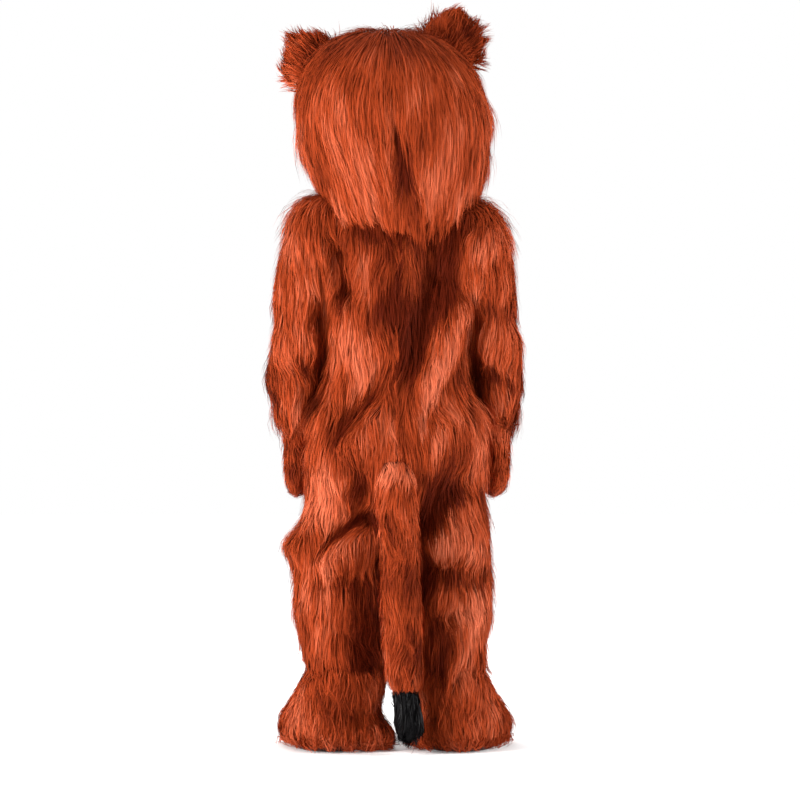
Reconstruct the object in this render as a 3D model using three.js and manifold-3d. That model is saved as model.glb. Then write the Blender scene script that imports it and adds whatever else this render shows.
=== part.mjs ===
// A worn bear mascot costume of long-pile fur cloth, hollow, held in the standing pose of its wearer.
// Millimetres, +Z up. The costume faces -Y and +X is the wearer's left.
// The origin is the centre of the neck opening, where the wearer carries the suit.
import * as THREE from "three";
import { mergeVertices } from "three/addons/utils/BufferGeometryUtils.js";
import Module from "manifold-3d";

const wasm = await Module();
wasm.setup();

// Driving dimensions. Every height below is measured up from the floor.
const NECK_HEIGHT = 1440;
const WALL = 12; // cloth backing with the pile laid on it
const SEAM = 0.35; // gap between pieces that touch
const KERF = 0.4; // gap along a cut seam
const HEAD_LEAN = 0.085; // the head leans this far to the left for each unit of height
const HEAD_LEAN_FROM = 1500; // height at which the leaning axis crosses the centre plane
const ZIP_SLOT = 8;
const ZIP_WIDTH = 7.2;
const ZIP_DEPTH = 3;
const ZIP_INSET = 8; // depth of the closure below the reach of the pile
const ZIP_SPAN = { bottom: 748, top: 1428 };
const BACK_FROM = 20; // the back wall lies behind this depth
const HEM_RUN = 40; // how far a cutter runs past an open end
const SOLE_THICKNESS = 12;
const FAR = 1500; // half size of a cutting block, larger than the costume

// Sections are level rings: height, centre and half width across (x, halfX), centre and half depth
// (y, halfY), and the ring's turn about its centre in radians, where it has one.
const TORSO = [
  { height: 578, x: 6, halfX: 150, y: 6, halfY: 84 },
  { height: 590, x: 6, halfX: 196, y: 5, halfY: 122 },
  { height: 622, x: 6, halfX: 224, y: 4, halfY: 150 },
  { height: 680, x: 4, halfX: 233, y: 3, halfY: 165 },
  { height: 760, x: 1, halfX: 232, y: 2, halfY: 168 },
  { height: 832, x: 0, halfX: 225, y: 0, halfY: 162 },
  { height: 900, x: 1, halfX: 206, y: 0, halfY: 154 },
  { height: 970, x: 0, halfX: 186, y: 0, halfY: 150 },
  { height: 1050, x: 0, halfX: 176, y: 0, halfY: 150 },
  { height: 1140, x: 0, halfX: 184, y: 2, halfY: 150 },
  { height: 1240, x: 0, halfX: 198, y: 4, halfY: 146 },
  { height: 1320, x: 0, halfX: 200, y: 4, halfY: 136 },
  { height: 1372, x: 0, halfX: 184, y: 4, halfY: 122 },
  { height: 1408, x: 0, halfX: 148, y: 2, halfY: 106 },
  { height: 1430, x: 0, halfX: 112, y: 0, halfY: 94 },
  { height: NECK_HEIGHT, x: 0, halfX: 96, y: 0, halfY: 86 },
];
const LEG_LEFT = [
  { height: 212, x: 127, halfX: 107, y: 14, halfY: 116 },
  { height: 262, x: 131, halfX: 112, y: 12, halfY: 122 },
  { height: 330, x: 137, halfX: 122, y: 8, halfY: 130 },
  { height: 410, x: 138, halfX: 124, y: 2, halfY: 134 },
  { height: 480, x: 132, halfX: 120, y: -4, halfY: 136 },
  { height: 550, x: 126, halfX: 116, y: -2, halfY: 138 },
  { height: 620, x: 124, halfX: 112, y: 2, halfY: 138 },
  { height: 690, x: 118, halfX: 98, y: 4, halfY: 126 },
];
const LEG_RIGHT = [
  { height: 212, x: -122, halfX: 110, y: 8, halfY: 114 },
  { height: 262, x: -118, halfX: 110, y: 8, halfY: 122 },
  { height: 330, x: -124, halfX: 116, y: 6, halfY: 130 },
  { height: 410, x: -125, halfX: 117, y: 2, halfY: 133 },
  { height: 480, x: -123, halfX: 115, y: -2, halfY: 135 },
  { height: 550, x: -121, halfX: 113, y: 0, halfY: 138 },
  { height: 620, x: -118, halfX: 110, y: 2, halfY: 138 },
  { height: 690, x: -112, halfX: 98, y: 4, halfY: 126 },
];
const SLEEVE_LEFT = [
  { height: 838, x: 264, halfX: 48, y: -86, halfY: 74 },
  { height: 884, x: 268, halfX: 55, y: -74, halfY: 80 },
  { height: 948, x: 266, halfX: 72, y: -52, halfY: 88 },
  { height: 1026, x: 253, halfX: 74, y: -32, halfY: 94 },
  { height: 1103, x: 232, halfX: 88, y: -20, halfY: 99 },
  { height: 1180, x: 219, halfX: 98, y: -12, halfY: 104 },
  { height: 1258, x: 205, halfX: 102, y: -6, halfY: 107 },
  { height: 1320, x: 190, halfX: 97, y: -2, halfY: 104 },
  { height: 1372, x: 180, halfX: 90, y: 0, halfY: 96 },
  { height: 1404, x: 170, halfX: 76, y: 0, halfY: 80 },
  { height: 1420, x: 160, halfX: 46, y: 0, halfY: 50 },
];
const SLEEVE_RIGHT = [
  { height: 842, x: -259, halfX: 47, y: -86, halfY: 74 },
  { height: 884, x: -263, halfX: 54, y: -74, halfY: 80 },
  { height: 948, x: -262, halfX: 69, y: -50, halfY: 87 },
  { height: 1026, x: -248, halfX: 72, y: -32, halfY: 93 },
  { height: 1103, x: -226, halfX: 86, y: -20, halfY: 98 },
  { height: 1180, x: -212, halfX: 96, y: -12, halfY: 103 },
  { height: 1258, x: -202, halfX: 100, y: -6, halfY: 106 },
  { height: 1320, x: -188, halfX: 96, y: -2, halfY: 103 },
  { height: 1368, x: -176, halfX: 88, y: 0, halfY: 95 },
  { height: 1396, x: -164, halfX: 70, y: 0, halfY: 78 },
  { height: 1410, x: -154, halfX: 44, y: 0, halfY: 48 },
];
// Paws and feet are drawn for the left side; the right ones are mirrored.
const PAW = [
  { height: 650, x: 257, halfX: 15, y: -118, halfY: 30 },
  { height: 658, x: 257, halfX: 25, y: -118, halfY: 50 },
  { height: 684, x: 258, halfX: 34, y: -118, halfY: 70 },
  { height: 728, x: 259, halfX: 36, y: -116, halfY: 76 },
  { height: 780, x: 260, halfX: 35, y: -108, halfY: 69 },
  { height: 824, x: 262, halfX: 36, y: -92, halfY: 61 },
  { height: 880, x: 264, halfX: 46, y: -76, halfY: 70 },
];
const THUMB = [
  { height: 724, x: 246, halfX: 13, y: -200, halfY: 14 },
  { height: 734, x: 246, halfX: 22, y: -198, halfY: 24 },
  { height: 762, x: 248, halfX: 26, y: -184, halfY: 32 },
  { height: 796, x: 252, halfX: 25, y: -152, halfY: 40 },
  { height: 810, x: 255, halfX: 20, y: -134, halfY: 34 },
];
const FOOT = [
  { height: SOLE_THICKNESS + SEAM, x: 180, halfX: 114, y: -56, halfY: 180, turn: 0.2 },
  { height: 34, x: 181, halfX: 124, y: -56, halfY: 190, turn: 0.2 },
  { height: 66, x: 178, halfX: 125, y: -52, halfY: 184, turn: 0.2 },
  { height: 104, x: 166, halfX: 118, y: -33, halfY: 160, turn: 0.18 },
  { height: 146, x: 147, halfX: 112, y: -5, halfY: 134, turn: 0.12 },
  { height: 182, x: 136, halfX: 109, y: 8, halfY: 120, turn: 0.05 },
];
const RIGHT_FOOT_INBOARD = 8; // the right foot stands this much nearer the middle
// The foot's ankle collar stands inside the leg; bite is what is trimmed to the leg's inside.
const COLLAR = { bottom: 206, top: 250, bite: 1.5 };
const HEAD = [
  { height: 1352, halfX: 196, y: 12, halfY: 146 },
  { height: 1398, halfX: 202, y: 8, halfY: 164 },
  { height: 1450, halfX: 214, y: 4, halfY: 190 },
  { height: 1516, halfX: 236, y: 0, halfY: 216 },
  { height: 1600, halfX: 251, y: 0, halfY: 232 },
  { height: 1670, halfX: 248, y: 0, halfY: 231 },
  { height: 1736, halfX: 226, y: 2, halfY: 212 },
  { height: 1790, halfX: 186, y: 4, halfY: 176 },
  { height: 1828, halfX: 132, y: 6, halfY: 126 },
  { height: 1846, halfX: 78, y: 8, halfY: 74 },
  { height: 1852, halfX: 34, y: 8, halfY: 32 },
];
const TAIL = [
  { height: 150, x: -33, halfX: 36, y: 168, halfY: 34 },
  { height: 172, x: -32, halfX: 43, y: 170, halfY: 41 },
  { height: 240, x: -28, halfX: 47, y: 176, halfY: 44 },
  { height: 340, x: -23, halfX: 51, y: 186, halfY: 47 },
  { height: 450, x: -20, halfX: 48, y: 196, halfY: 45 },
  { height: 560, x: -16, halfX: 48, y: 207, halfY: 44 },
  { height: 640, x: -12, halfX: 50, y: 206, halfY: 44 },
  { height: 700, x: -9, halfX: 48, y: 192, halfY: 40 },
  { height: 734, x: -8, halfX: 38, y: 174, halfY: 32 },
  { height: 748, x: -8, halfX: 22, y: 162, halfY: 20 },
];

// Folds of the worn cloth: a run from one place to another, pressed in (depth below 0) or standing out.
// reach is how far the fold spreads to each side of its run.
const TORSO_FOLDS = [
  { face: "back", x1: 150, z1: 1345, x2: 118, z2: 1150, depth: -16, reach: 34 },
  { face: "back", x1: -216, z1: 1262, x2: -136, z2: 1030, depth: 14, reach: 34 },
  { face: "back", x1: -70, z1: 1290, x2: -96, z2: 1020, depth: -24, reach: 42 },
  { face: "back", x1: 0, z1: 1020, x2: 116, z2: 850, depth: -14, reach: 34 },
  { face: "back", x1: 70, z1: 830, x2: 150, z2: 720, depth: 14, reach: 52 },
  { face: "back", x1: -146, z1: 948, x2: -124, z2: 880, depth: -10, reach: 34 },
  { face: "back", x1: -66, z1: 615, x2: -170, z2: 690, depth: -14, reach: 34 },
  { face: "back", x1: 40, z1: 620, x2: 190, z2: 560, depth: -14, reach: 34 },
  { face: "back", x1: -70, z1: 800, x2: -150, z2: 760, depth: 12, reach: 55 },
  { face: "front", x1: -120, z1: 1180, x2: 40, z2: 1010, depth: -12, reach: 40 },
  { face: "front", x1: 130, z1: 1120, x2: 20, z2: 930, depth: -12, reach: 40 },
  { face: "front", x1: -110, z1: 830, x2: 110, z2: 820, depth: 14, reach: 70 },
  { face: "front", x1: -150, z1: 700, x2: -30, z2: 640, depth: -12, reach: 36 },
  { face: "front", x1: 150, z1: 700, x2: 30, z2: 640, depth: -12, reach: 36 },
];
const LEG_FOLDS = [
  { face: "back", x1: 44, z1: 616, x2: 188, z2: 520, depth: -16, reach: 34 },
  { face: "back", x1: 90, z1: 520, x2: 170, z2: 470, depth: 14, reach: 36 },
  { face: "back", x1: 75, z1: 446, x2: 211, z2: 450, depth: -12, reach: 32 },
  { face: "back", x1: -70, z1: 484, x2: -214, z2: 407, depth: -14, reach: 34 },
  { face: "back", x1: -90, z1: 560, x2: -170, z2: 520, depth: 10, reach: 40 },
  { face: "all", x1: 262, z1: 548, x2: 262, z2: 490, depth: 26, reach: 32 },
  { face: "back", x1: 60, z1: 262, x2: 210, z2: 280, depth: -10, reach: 30 },
  { face: "back", x1: -60, z1: 290, x2: -190, z2: 262, depth: -10, reach: 30 },
  { face: "front", x1: 60, z1: 500, x2: 200, z2: 440, depth: -12, reach: 36 },
  { face: "front", x1: -60, z1: 500, x2: -200, z2: 430, depth: -12, reach: 36 },
  { face: "front", x1: 60, z1: 300, x2: 200, z2: 320, depth: -10, reach: 34 },
  { face: "front", x1: -60, z1: 310, x2: -200, z2: 290, depth: -10, reach: 34 },
];
const SLEEVE_FOLDS = [
  { face: "back", x1: 150, z1: 1120, x2: 320, z2: 1080, depth: -10, reach: 34 },
  { face: "all", x1: 330, z1: 1000, x2: 338, z2: 930, depth: 8, reach: 30 },
  { face: "back", x1: 200, z1: 930, x2: 320, z2: 900, depth: -9, reach: 26 },
  { face: "back", x1: -150, z1: 1110, x2: -310, z2: 1060, depth: -10, reach: 34 },
  { face: "back", x1: -200, z1: 940, x2: -320, z2: 900, depth: -9, reach: 26 },
  { face: "front", x1: 180, z1: 1060, x2: 320, z2: 1010, depth: -12, reach: 34 },
  { face: "front", x1: -180, z1: 1050, x2: -320, z2: 1000, depth: -12, reach: 34 },
];
const NO_FOLDS = [];

// Ears: where the root's middle lies, which way the ear points, and its size.
const EARS = [
  { side: "left", x: 212, y: -6, z: 1776, turn: -0.72, radius: 76 },
  { side: "right", x: -152, y: -6, z: 1824, turn: 0.3, radius: 76 },
];
const EAR_CUP = 26; // depth of the hollow
const EAR_WALL = 11;
const EAR_FLARE = 0.12; // the upper half of an ear is this much taller
const EAR_MESH = { around: 12, bands: 3 };
const MUZZLE = { x: 8, y: -226, z: 1545, halfX: 104, halfY: 96, halfZ: 74 };
const NOSE = { x: 8, y: -318, z: 1584, halfX: 40, halfY: 20, halfZ: 27 };
const EYES = [
  { side: "left", x: 94, y: -216, z: 1668 },
  { side: "right", x: -66, y: -216, z: 1668 },
];
const EYE_SIZE = { halfX: 24, halfY: 22, halfZ: 28 };
const TUFT = {
  locks: 18, headHeight: 20, rootRadius: 28.8, spreadX: 34.7, spreadY: 28, twist: 0.2,
  thickness: 10.5, rootShare: 0.7, tipHalf: 1.2, tipHeight: 13, raggedness: 26, sway: -18,
};
const GOLDEN_ANGLE = Math.PI * (3 - Math.sqrt(5));

const FUR = { color: 0xa8452b, roughness: 0.85, metalness: 0 };
const DARK_FUR = { color: 0x7f2d19, roughness: 0.85, metalness: 0 };
const BLACK_FUR = { color: 0x141012, roughness: 0.7, metalness: 0 };
const NOSE_VINYL = { color: 0x1a1414, roughness: 0.4, metalness: 0 };
const EYE_MESH = { color: 0x101010, roughness: 0.3, metalness: 0 };
const TAPE = { color: 0x5a2015, roughness: 0.8, metalness: 0 };
const SOLE_RUBBER = { color: 0x2c2220, roughness: 0.9, metalness: 0 };

const group = new THREE.Group();
group.position.z = -NECK_HEIGHT;

// ---- Solids from sections ----

/** A smooth value through the rows of a table at a fractional row number. */
function between(rows, column, at) {
  const last = rows.length - 1;
  const i = Math.min(Math.floor(at), last - 1);
  const t = at - i;
  const value = (k) => rows[THREE.MathUtils.clamp(k, 0, last)][column] ?? 0;
  const slopeA = (value(i + 1) - value(i - 1)) / 2;
  const slopeB = (value(i + 2) - value(i)) / 2;
  const square = t * t;
  const cube = square * t;
  return (2 * cube - 3 * square + 1) * value(i) + (cube - 2 * square + t) * slopeA
    + (3 * square - 2 * cube) * value(i + 1) + (cube - square) * slopeB;
}

/** How far the folds move a point along its normal. */
function foldDepth(folds, point, middleY) {
  let sum = 0;
  for (const fold of folds) {
    if (fold.face === "back" && point.y < middleY) continue;
    if (fold.face === "front" && point.y > middleY) continue;
    const runX = fold.x2 - fold.x1;
    const runZ = fold.z2 - fold.z1;
    const along = ((point.x - fold.x1) * runX + (point.z - fold.z1) * runZ) / (runX ** 2 + runZ ** 2);
    const t = THREE.MathUtils.clamp(along, 0, 1);
    const away = Math.hypot(point.x - fold.x1 - t * runX, point.z - fold.z1 - t * runZ);
    sum += fold.depth * Math.exp(-((away / fold.reach) ** 2));
  }
  return sum;
}

/** The points on a stack of sections, ring by ring, each moved out along the surface by offset. */
function ringsOf(rows, { around, rings, offset, folds, power }) {
  const at = (k, j) => {
    const row = (rows.length - 1) * (k / (rings - 1));
    const angle = (2 * Math.PI * j) / around;
    const round = (value) => Math.sign(value) * Math.abs(value) ** (2 / power);
    const across = between(rows, "halfX", row) * round(Math.cos(angle));
    const along = between(rows, "halfY", row) * round(Math.sin(angle));
    const turn = between(rows, "turn", row);
    return new THREE.Vector3(
      between(rows, "x", row) + across * Math.cos(turn) - along * Math.sin(turn),
      between(rows, "y", row) + across * Math.sin(turn) + along * Math.cos(turn),
      between(rows, "height", row),
    );
  };
  const normal = (k, j) => {
    const up = at(Math.min(k + 0.5, rings - 1), j).sub(at(Math.max(k - 0.5, 0), j));
    const across = at(k, j + 0.5).sub(at(k, j - 0.5));
    return across.cross(up).normalize();
  };
  const grid = [];
  for (let k = 0; k < rings; k++) {
    const middleY = between(rows, "y", (rows.length - 1) * (k / (rings - 1)));
    const ring = [];
    for (let j = 0; j < around; j++) {
      const point = at(k, j);
      const out = offset + foldDepth(folds, point, middleY);
      ring.push(point.addScaledVector(normal(k, j), out));
    }
    grid.push(ring);
  }
  return grid;
}

/** A closed geometry over a grid of rings, bottom first, with a flat fan over each end. */
function skinOf(grid) {
  const around = grid[0].length;
  const positions = [];
  const triangles = [];
  const sumOf = (ring) => ring.reduce((sum, p) => sum.add(p), new THREE.Vector3());
  const middle = (ring) => sumOf(ring).divideScalar(ring.length);
  for (const ring of grid) for (const point of ring) positions.push(...point);
  const bottom = positions.push(...middle(grid[0])) / 3 - 1;
  const top = positions.push(...middle(grid[grid.length - 1])) / 3 - 1;
  const lastRing = (grid.length - 1) * around;
  for (let j = 0; j < around; j++) {
    const next = (j + 1) % around;
    for (let k = 0; k < grid.length - 1; k++) {
      const a = k * around + j;
      const b = k * around + next;
      triangles.push(a, b, b + around, a, b + around, a + around);
    }
    triangles.push(bottom, next, j);
    triangles.push(top, lastRing + j, lastRing + next);
  }
  const geometry = new THREE.BufferGeometry();
  geometry.setAttribute("position", new THREE.Float32BufferAttribute(positions, 3));
  geometry.setIndex(triangles);
  return geometry;
}

/** A manifold solid from a closed three.js geometry. */
function solidOf(geometry) {
  const bare = geometry.clone();
  bare.deleteAttribute("normal");
  bare.deleteAttribute("uv");
  const merged = mergeVertices(bare, 1e-4);
  return new wasm.Manifold(new wasm.Mesh({
    numProp: 3,
    vertProperties: new Float32Array(merged.attributes.position.array),
    triVerts: new Uint32Array(merged.index.array),
  }));
}

/** A solid through sections. openBottom and openTop run it past that end, as a cutter for a hollow does. */
function stack(rows, options) {
  const { openBottom = 0, openTop = 0 } = options;
  const grid = ringsOf(rows, { offset: 0, folds: NO_FOLDS, power: 2.2, ...options });
  const shifted = (ring, z) => ring.map((point) => point.clone().setZ(point.z + z));
  if (openBottom) grid.unshift(shifted(grid[0], -openBottom));
  if (openTop) grid.push(shifted(grid[grid.length - 1], openTop));
  return solidOf(skinOf(grid));
}

/** The outer form, the hollow and the form grown by the seam gap of one garment tube. */
function tube(rows, options) {
  const { open } = options;
  const ends = {
    openBottom: open.includes("bottom") ? HEM_RUN : 0,
    openTop: open.includes("top") ? HEM_RUN : 0,
  };
  const inside = { ...options, around: options.insideAround, rings: options.insideRings };
  return {
    outer: stack(rows, options),
    hollow: stack(rows, { ...inside, offset: -WALL, ...ends }),
    grown: stack(rows, { ...options, offset: SEAM, openBottom: 2 * SEAM, openTop: 2 * SEAM }),
    shrunk: stack(rows, { ...inside, offset: -WALL - SEAM, ...ends }),
  };
}

function block(lowX, highX, lowY, highY, lowZ, highZ) {
  const geometry = new THREE.BoxGeometry(highX - lowX, highY - lowY, highZ - lowZ);
  geometry.translate((lowX + highX) / 2, (lowY + highY) / 2, (lowZ + highZ) / 2);
  return solidOf(geometry);
}

/** An ellipsoid with its poles up and down. */
function egg({ x, y, z, halfX, halfY, halfZ }, around, bands) {
  const geometry = new THREE.SphereGeometry(1, around, bands);
  geometry.rotateX(Math.PI / 2);
  geometry.scale(halfX, halfY, halfZ);
  geometry.translate(x, y, z);
  return solidOf(geometry);
}

function mirrored(rows) {
  return rows.map((row) => ({ ...row, x: -row.x, turn: -(row.turn ?? 0) }));
}

/** The largest of a solid's separate bodies, so that a cut leaves no crumbs. */
function mainBody(solid) {
  const bodies = solid.decompose();
  return bodies.reduce((best, body) => (body.volume() > best.volume() ? body : best));
}

function addMesh(name, solid, finish) {
  const mesh = mainBody(solid).getMesh();
  const geometry = new THREE.BufferGeometry();
  geometry.setAttribute("position", new THREE.Float32BufferAttribute(mesh.vertProperties, 3));
  geometry.setIndex(Array.from(mesh.triVerts));
  geometry.computeVertexNormals();
  const piece = new THREE.Mesh(geometry, new THREE.MeshStandardMaterial(finish));
  piece.name = name;
  group.add(piece);
}

// ---- The suit: torso and legs in four panels ----

function suitForms() {
  const torso = tube(TORSO, {
    around: 32, rings: 20, insideAround: 22, insideRings: 15, folds: TORSO_FOLDS, power: 2.3, open: ["top"],
  });
  const legShape = {
    around: 18, rings: 12, insideAround: 14, insideRings: 10, folds: LEG_FOLDS, open: ["bottom"],
  };
  const legs = [LEG_LEFT, LEG_RIGHT].map((rows) => tube(rows, legShape));
  const joined = (form) => legs.reduce((sum, leg) => sum.add(leg[form]), torso[form]);
  const forms = ["outer", "hollow", "grown", "shrunk"];
  return Object.fromEntries(forms.map((form) => [form, joined(form)]));
}

const suit = suitForms();
const sleeveShape = {
  around: 16, rings: 12, insideAround: 13, insideRings: 9, folds: SLEEVE_FOLDS, open: ["bottom"],
};
const sleeves = {
  left: tube(SLEEVE_LEFT, sleeveShape),
  right: tube(SLEEVE_RIGHT, sleeveShape),
};

function addSuit() {
  const shell = suit.outer.subtract(suit.hollow)
    .subtract(sleeves.left.hollow)
    .subtract(sleeves.right.hollow)
    .subtract(block(-ZIP_SLOT / 2, ZIP_SLOT / 2, 0, FAR, ZIP_SPAN.bottom, FAR));
  const quarters = [
    { name: "body_front_left", x: [KERF / 2, FAR], y: [-FAR, -KERF / 2] },
    { name: "body_front_right", x: [-FAR, -KERF / 2], y: [-FAR, -KERF / 2] },
    { name: "body_back_left", x: [KERF / 2, FAR], y: [KERF / 2, FAR] },
    { name: "body_back_right", x: [-FAR, -KERF / 2], y: [KERF / 2, FAR] },
  ];
  for (const { name, x, y } of quarters) {
    addMesh(name, shell.intersect(block(...x, ...y, 0, FAR)), FUR);
  }
}

function addSleeves() {
  for (const [side, sleeve] of Object.entries(sleeves)) {
    addMesh(`sleeve_${side}`, sleeve.outer.subtract(sleeve.hollow).subtract(suit.grown), FUR);
  }
}

function addZip() {
  const shape = { around: 32, rings: 20, folds: TORSO_FOLDS, power: 2.3 };
  const outer = stack(TORSO, { ...shape, offset: -ZIP_INSET });
  const inner = stack(TORSO, {
    ...shape, offset: -ZIP_INSET - ZIP_DEPTH, openTop: HEM_RUN, openBottom: HEM_RUN,
  });
  const slot = block(-ZIP_WIDTH / 2, ZIP_WIDTH / 2, BACK_FROM, FAR, ZIP_SPAN.bottom + SEAM, ZIP_SPAN.top);
  addMesh("back_zip", outer.subtract(inner).intersect(slot), TAPE);
}

// ---- Paws and feet ----

function addPaws() {
  for (const side of ["left", "right"]) {
    const sized = side === "left" ? [PAW, THUMB] : [mirrored(PAW), mirrored(THUMB)];
    const palm = tube(sized[0], { around: 14, rings: 9, insideAround: 10, insideRings: 7, open: ["top"] });
    const thumb = tube(sized[1], { around: 8, rings: 5, insideAround: 6, insideRings: 4, open: [] });
    const sleeve = sleeves[side];
    const paw = palm.outer.add(thumb.outer)
      .subtract(palm.hollow.add(thumb.hollow))
      .subtract(sleeve.grown.subtract(sleeve.shrunk));
    addMesh(`paw_${side}`, paw, FUR);
  }
}

/** The sections of one foot, ending in a collar that fits inside the leg's hem. */
function footRows(side) {
  const inboard = (row) => ({ ...row, x: row.x + RIGHT_FOOT_INBOARD });
  const shaped = side === "left" ? FOOT : mirrored(FOOT).map(inboard);
  const hem = side === "left" ? LEG_LEFT[0] : LEG_RIGHT[0];
  const inside = WALL - COLLAR.bite;
  const collar = { ...hem, halfX: hem.halfX - inside, halfY: hem.halfY - inside };
  return [...shaped, { ...collar, height: COLLAR.bottom }, { ...collar, height: COLLAR.top }];
}

function addFeet() {
  const legs = suit.grown.subtract(suit.shrunk);
  for (const side of ["left", "right"]) {
    const rows = footRows(side);
    const foot = tube(rows, {
      around: 18, rings: 10, insideAround: 14, insideRings: 8, open: ["bottom", "top"],
    });
    addMesh(`foot_${side}`, foot.outer.subtract(foot.hollow).subtract(legs), FUR);
    const plate = [{ ...rows[0], height: 0 }, { ...rows[0], height: SOLE_THICKNESS }];
    addMesh(`sole_${side}`, stack(plate, { around: 18, rings: 2 }), SOLE_RUBBER);
  }
}

// ---- The head, its ears and its plain face ----

function leaning(rows) {
  return rows.map((row) => ({ ...row, x: (row.height - HEAD_LEAN_FROM) * HEAD_LEAN }));
}

const head = tube(leaning(HEAD), {
  around: 26, rings: 15, insideAround: 18, insideRings: 11, open: ["bottom"],
});

/** A half of space whose edge plane leans with the head: side is 1 for the left and -1 for the right. */
function leaningHalf(side) {
  const geometry = new THREE.BoxGeometry(FAR, 2 * FAR, 2 * FAR);
  geometry.translate(side * (FAR / 2 + KERF / 2), 0, 0);
  geometry.rotateY(Math.atan(HEAD_LEAN));
  geometry.translate(0, 0, HEAD_LEAN_FROM);
  return solidOf(geometry);
}

function addHead() {
  const shoulders = suit.grown.add(sleeves.left.grown).add(sleeves.right.grown);
  const shell = head.outer.subtract(head.hollow).subtract(shoulders);
  const front = block(-FAR, FAR, -FAR, -KERF / 2, 0, 2 * FAR);
  const back = block(-FAR, FAR, KERF / 2, FAR, 0, 2 * FAR);
  addMesh("head_front", shell.intersect(front), FUR);
  addMesh("head_back_left", shell.intersect(back).intersect(leaningHalf(1)), FUR);
  addMesh("head_back_right", shell.intersect(back).intersect(leaningHalf(-1)), DARK_FUR);
}

/** One cupped round of an ear: a thin bowl between two depths behind its rim, open towards the front. */
function earBowl({ x, y, z, turn, radius }, nearer, thickness) {
  const { around, bands } = EAR_MESH;
  const layer = (depth, shrink) => (k, j) => {
    const share = k / bands;
    const angle = (2 * Math.PI * j) / around;
    const reach = (radius - shrink) * share;
    const bowl = depth + EAR_CUP * (1 - share ** 2);
    const flare = 1 + EAR_FLARE * Math.max(0, Math.sin(angle)) ** 2;
    return new THREE.Vector3(reach * Math.cos(angle), bowl, reach * Math.sin(angle) * flare);
  };
  const back = layer(nearer + thickness, 0);
  const front = layer(nearer, 0);
  const place = new THREE.Matrix4().makeTranslation(x, y, z)
    .multiply(new THREE.Matrix4().makeRotationY(-turn));
  const ringOf = (at, k) => Array.from({ length: around }, (_, j) => at(k, j).applyMatrix4(place));
  const grid = [];
  for (let k = 1; k <= bands; k++) grid.push(ringOf(back, k));
  for (let k = bands; k >= 1; k--) grid.push(ringOf(front, k));
  return solidOf(skinOf(grid));
}

function addEars() {
  for (const ear of EARS) {
    const trimmed = (solid) => solid.subtract(head.grown);
    addMesh(`ear_${ear.side}_front`, trimmed(earBowl(ear, 0, EAR_WALL)), FUR);
    addMesh(`ear_${ear.side}_back`, trimmed(earBowl(ear, EAR_WALL + SEAM, EAR_WALL)), FUR);
  }
}

function addFace() {
  const { halfX, halfY, halfZ } = MUZZLE;
  const grown = { ...MUZZLE, halfX: halfX + SEAM, halfY: halfY + SEAM, halfZ: halfZ + SEAM };
  const [muzzle, grownMuzzle] = [MUZZLE, grown].map((form) => egg(form, 16, 10));
  addMesh("muzzle", muzzle.subtract(head.grown), FUR);
  addMesh("nose", egg(NOSE, 10, 6).subtract(grownMuzzle), NOSE_VINYL);
  for (const { side, ...place } of EYES) {
    addMesh(`eye_${side}`, egg({ ...place, ...EYE_SIZE }, 12, 6).subtract(head.grown), EYE_MESH);
  }
}

// ---- The tail and its black tuft ----

const tail = stack(TAIL, { around: 12, rings: 12 });

/** A four-sided lock from its root in the tuft's head to its tip near the floor. */
function lock(root, tip, thickness) {
  const rootHalf = thickness * TUFT.rootShare;
  const sections = [
    { height: tip.z, x: tip.x, y: tip.y, halfX: TUFT.tipHalf, halfY: TUFT.tipHalf },
    {
      height: (tip.z * 2 + root.z) / 3,
      x: (tip.x * 2 + root.x) / 3,
      y: (tip.y * 2 + root.y) / 3,
      halfX: thickness,
      halfY: thickness,
    },
    { height: root.z, x: root.x, y: root.y, halfX: rootHalf, halfY: rootHalf },
  ];
  return stack(sections, { around: 4, rings: 3, power: 2 });
}

function addTail() {
  addMesh("tail", tail.subtract(suit.grown), FUR);
  const end = TAIL[0];
  const top = end.height - SEAM;
  const headRows = [
    { height: top - TUFT.headHeight, x: end.x - 1, halfX: end.halfX, y: end.y, halfY: end.halfY },
    { height: top, x: end.x, halfX: end.halfX - 2, y: end.y, halfY: end.halfY - 2 },
  ];
  let tuft = stack(headRows, { around: 12, rings: 2, power: 2 });
  for (let i = 0; i < TUFT.locks; i++) {
    const share = Math.sqrt((i + 0.5) / TUFT.locks);
    const angle = i * GOLDEN_ANGLE;
    const root = new THREE.Vector3(
      end.x + TUFT.rootRadius * share * Math.cos(angle),
      end.y + TUFT.rootRadius * share * Math.sin(angle),
      top - TUFT.headHeight / 2,
    );
    const tip = new THREE.Vector3(
      end.x + TUFT.sway + TUFT.spreadX * share * Math.cos(angle + TUFT.twist),
      end.y + TUFT.spreadY * share * Math.sin(angle + TUFT.twist),
      TUFT.tipHeight + TUFT.raggedness * share * ((i * 7) % 5) / 5,
    );
    tuft = tuft.add(lock(root, tip, TUFT.thickness));
  }
  addMesh("tail_tuft", tuft, BLACK_FUR);
}

addSuit();
addZip();
addSleeves();
addPaws();
addFeet();
addHead();
addEars();
addFace();
addTail();

export default group;
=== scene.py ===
import math

import bmesh
import bpy
import numpy as np
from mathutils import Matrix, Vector
from mathutils.bvhtree import BVHTree


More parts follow.
